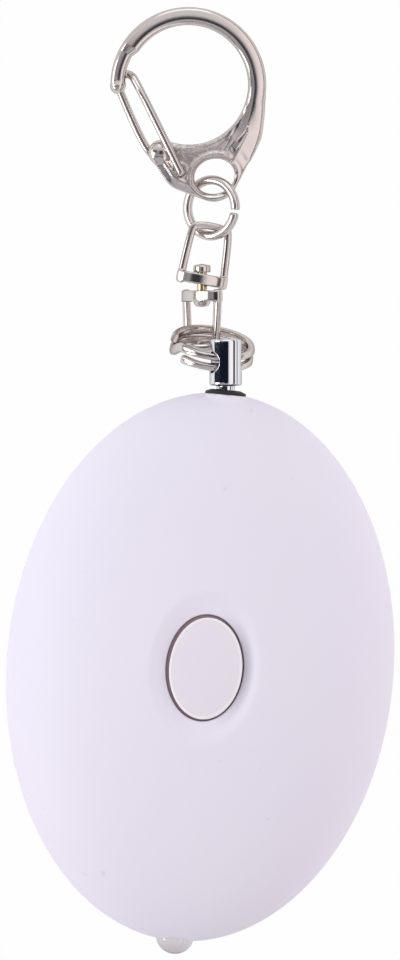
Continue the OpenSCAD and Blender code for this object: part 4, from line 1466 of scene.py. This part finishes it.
# %% Dress the inner nodes
dressed = 0
for row in frame["record"]["subparts"]:
    solid = nodes[row["node"]]
    if solid.hide_render:
        continue
    solid.data.materials.clear()
    solid.data.materials.append(inner_finishes[row["material_slot"]])
    dressed += 1
print("dressed", dressed, "inner nodes")

# %% [markdown]
# ## The floor
#
# The alarm is held level above a wide pale floor, far enough up for the chain to hang down at any turn
# of its links. The photograph's ground is plain white, so the floor shows as white to the eye, to
# mirrors and through clear resin, and mixes in a little of its matt surface, which keeps the soft
# shadow. Light that bounces from it is still that of a pale floor.

# %% Floor
def pale_floor(white_share):
    material = bpy.data.materials.new("pale_floor")
    material.use_nodes = True
    recipe = Recipe(material.node_tree)
    recipe.tree.nodes.clear()
    kinds = ("Camera", "Glossy", "Transmission")
    rays = [recipe.node("ShaderNodeLightPath", {}, {}, f"Is {kind} Ray") for kind in kinds]
    seen = recipe.maths("MAXIMUM", recipe.maths("MAXIMUM", rays[0], rays[1]), rays[2])
    matt = recipe.node("ShaderNodeBsdfDiffuse", {}, {"Color": (0.74, 0.73, 0.75, 1.0)})
    white = recipe.node("ShaderNodeEmission", {}, {"Color": (1.0, 1.0, 1.0, 1.0), "Strength": 1.0})
    both = recipe.node("ShaderNodeMixShader", {}, {0: seen * white_share, 1: matt, 2: white})
    end = recipe.tree.nodes.new("ShaderNodeOutputMaterial")
    recipe.feed(end.inputs["Surface"], both)
    return material


floor_half = 6.0
chain_drop = 52 * mm
floor_signs = ((-1, -1), (1, -1), (1, 1), (-1, 1))
floor_corners = [(x * floor_half, y * floor_half, -chain_drop) for x, y in floor_signs]
floor = mesh_object("floor", floor_corners, [[0, 1, 2, 3]])
floor.data.materials.append(pale_floor(0.97))
print("floor:", 2 * floor_half, "m square")

# %% [markdown]
# ## Sky and lamps
#
# Polished metal is mostly what it mirrors. The sky is painted by the angle of a direction left or right
# of overhead, measured across the picture, so its strips run along the chain: grey on the left, bright
# on the right with one thin dark gap, brighter toward the clasp, dark straight overhead and near the
# ground. The dark half of the chrome pin and the dark patch inside the clasp's bow come from two small
# dark cards, which only mirrors see. A broad low lamp on the left gives the case its shape. Two weaker
# ones fill from the right, unseen by mirrors, and from the chain's end, and a small one leaves its
# glint on the clear lamp.

# %% Sky and lamps
def strip_sky():
    world = bpy.data.worlds.new("studio_sky")
    world.use_nodes = True
    bpy.context.scene.world = world
    recipe = Recipe(world.node_tree)
    recipe.tree.nodes.clear()
    way = recipe.node("ShaderNodeTexCoord", {}, {}, "Generated")
    toward = [
        recipe.vector("DOT_PRODUCT", way, tuple(axis), "Value")
        for axis in (right, out, up)
    ]
    degrees = 180 / math.pi
    angle = recipe.maths("ARCTAN2", toward[0], toward[1]) * degrees
    from_top = recipe.maths("ARCCOSINE", toward[1]) * degrees

    def strip(start, end, soft):
        after_start = recipe.between(angle, start - soft, start + soft)
        return after_start * (1 - recipe.between(angle, end - soft, end + soft))

    overhead = 1 - recipe.between(from_top, 9, 22)
    low_sky = 1 - recipe.between(toward[1], 0.02, 0.22)
    headward = recipe.between(toward[2], 0.1, 0.5)
    footward = 1 - recipe.between(toward[2], -0.6, -0.25)
    grey_left = strip(-66, -20, 14) * (1 - headward) * (1 - footward)
    sky = recipe.mix(headward, (0.8, 0.79, 0.84, 1.0), (1.15, 1.12, 1.15, 1.0))
    sky = recipe.mix(grey_left, sky, (0.44, 0.43, 0.47, 1.0))
    sky = recipe.mix(strip(22, 80, 10), sky, (1.6, 1.5, 1.5, 1.0))
    sky = recipe.mix(strip(52, 67, 2), sky, (0.08, 0.075, 0.08, 1.0))
    sky = recipe.mix(overhead, sky, (0.05, 0.05, 0.06, 1.0))
    sky = recipe.mix(low_sky, sky, (0.34, 0.31, 0.31, 1.0))
    light = recipe.node("ShaderNodeBackground", {}, {"Color": sky, "Strength": 0.735})
    end = recipe.tree.nodes.new("ShaderNodeOutputWorld")
    recipe.feed(end.inputs["Surface"], light)


lamp_target = Vector((0, 0.02, 0.01))
lamp_distance = 1.0


def soft_lamp(name, way, size, watts, colour, mirrored=True):
    """A square lamp that looks at the case from a direction given as (right, up, out). It shows in
    mirrors unless told otherwise."""
    from_case = (right * way[0] + up * way[1] + out * way[2]).normalized()
    light = bpy.data.lights.new(name, "AREA")
    light.size = size
    light.energy = watts
    light.color = colour
    lamp_object = bpy.data.objects.new(name, light)
    lamp_object.location = lamp_target + from_case * lamp_distance
    lamp_object.rotation_euler = from_case.to_track_quat("Z", "Y").to_euler()
    lamp_object.visible_glossy = mirrored
    bpy.context.scene.collection.objects.link(lamp_object)


def dark_card(name, place, turns, ends):
    """A dark card bent round a place's up axis. Only mirrors see it."""
    card_r = 45 * mm
    count = 40
    turn = np.radians(np.linspace(*turns, count))
    strips = [np.stack([card_r * np.sin(turn), np.full(count, v), card_r * np.cos(turn)], 1) for v in ends]
    faces = [[k, k + 1, k + count + 1, k + count] for k in range(count - 1)]
    card = mesh_object(name, moved(np.concatenate(strips), place), faces)
    card.data.materials.append(felt.material)
    for ray in ("camera", "diffuse", "transmission", "shadow"):
        setattr(card, f"visible_{ray}", False)


strip_sky()
felt = Finish("navy_felt", Base_Color=(0.012, 0.016, 0.03, 1.0), Roughness=0.9, Specular_IOR_Level=0.0)
dark_card("pin_card", pin_place, (-86, 15), (head_v - 0.4 * mm, head_v + head_l + 0.4 * mm))
dark_card("clasp_card", clasp_place, (-72, -36), (-8 * mm, 4 * mm))
soft_lamp("left_lamp", (-0.9, 0.05, 0.42), 0.6, 3.0, (0.98, 0.99, 0.97))
soft_lamp("right_lamp", (0.95, 0.0, 0.25), 0.6, 2.2, (1.0, 0.92, 0.95), mirrored=False)
soft_lamp("head_lamp", (0.0, 0.9, 0.45), 0.6, 0.85, (0.75, 0.95, 1.0))
soft_lamp("glint_lamp", (-0.89, -0.39, 0.26), 0.22, 1.5, (1.0, 0.97, 0.99))
print("studio: strip sky and four lamps")
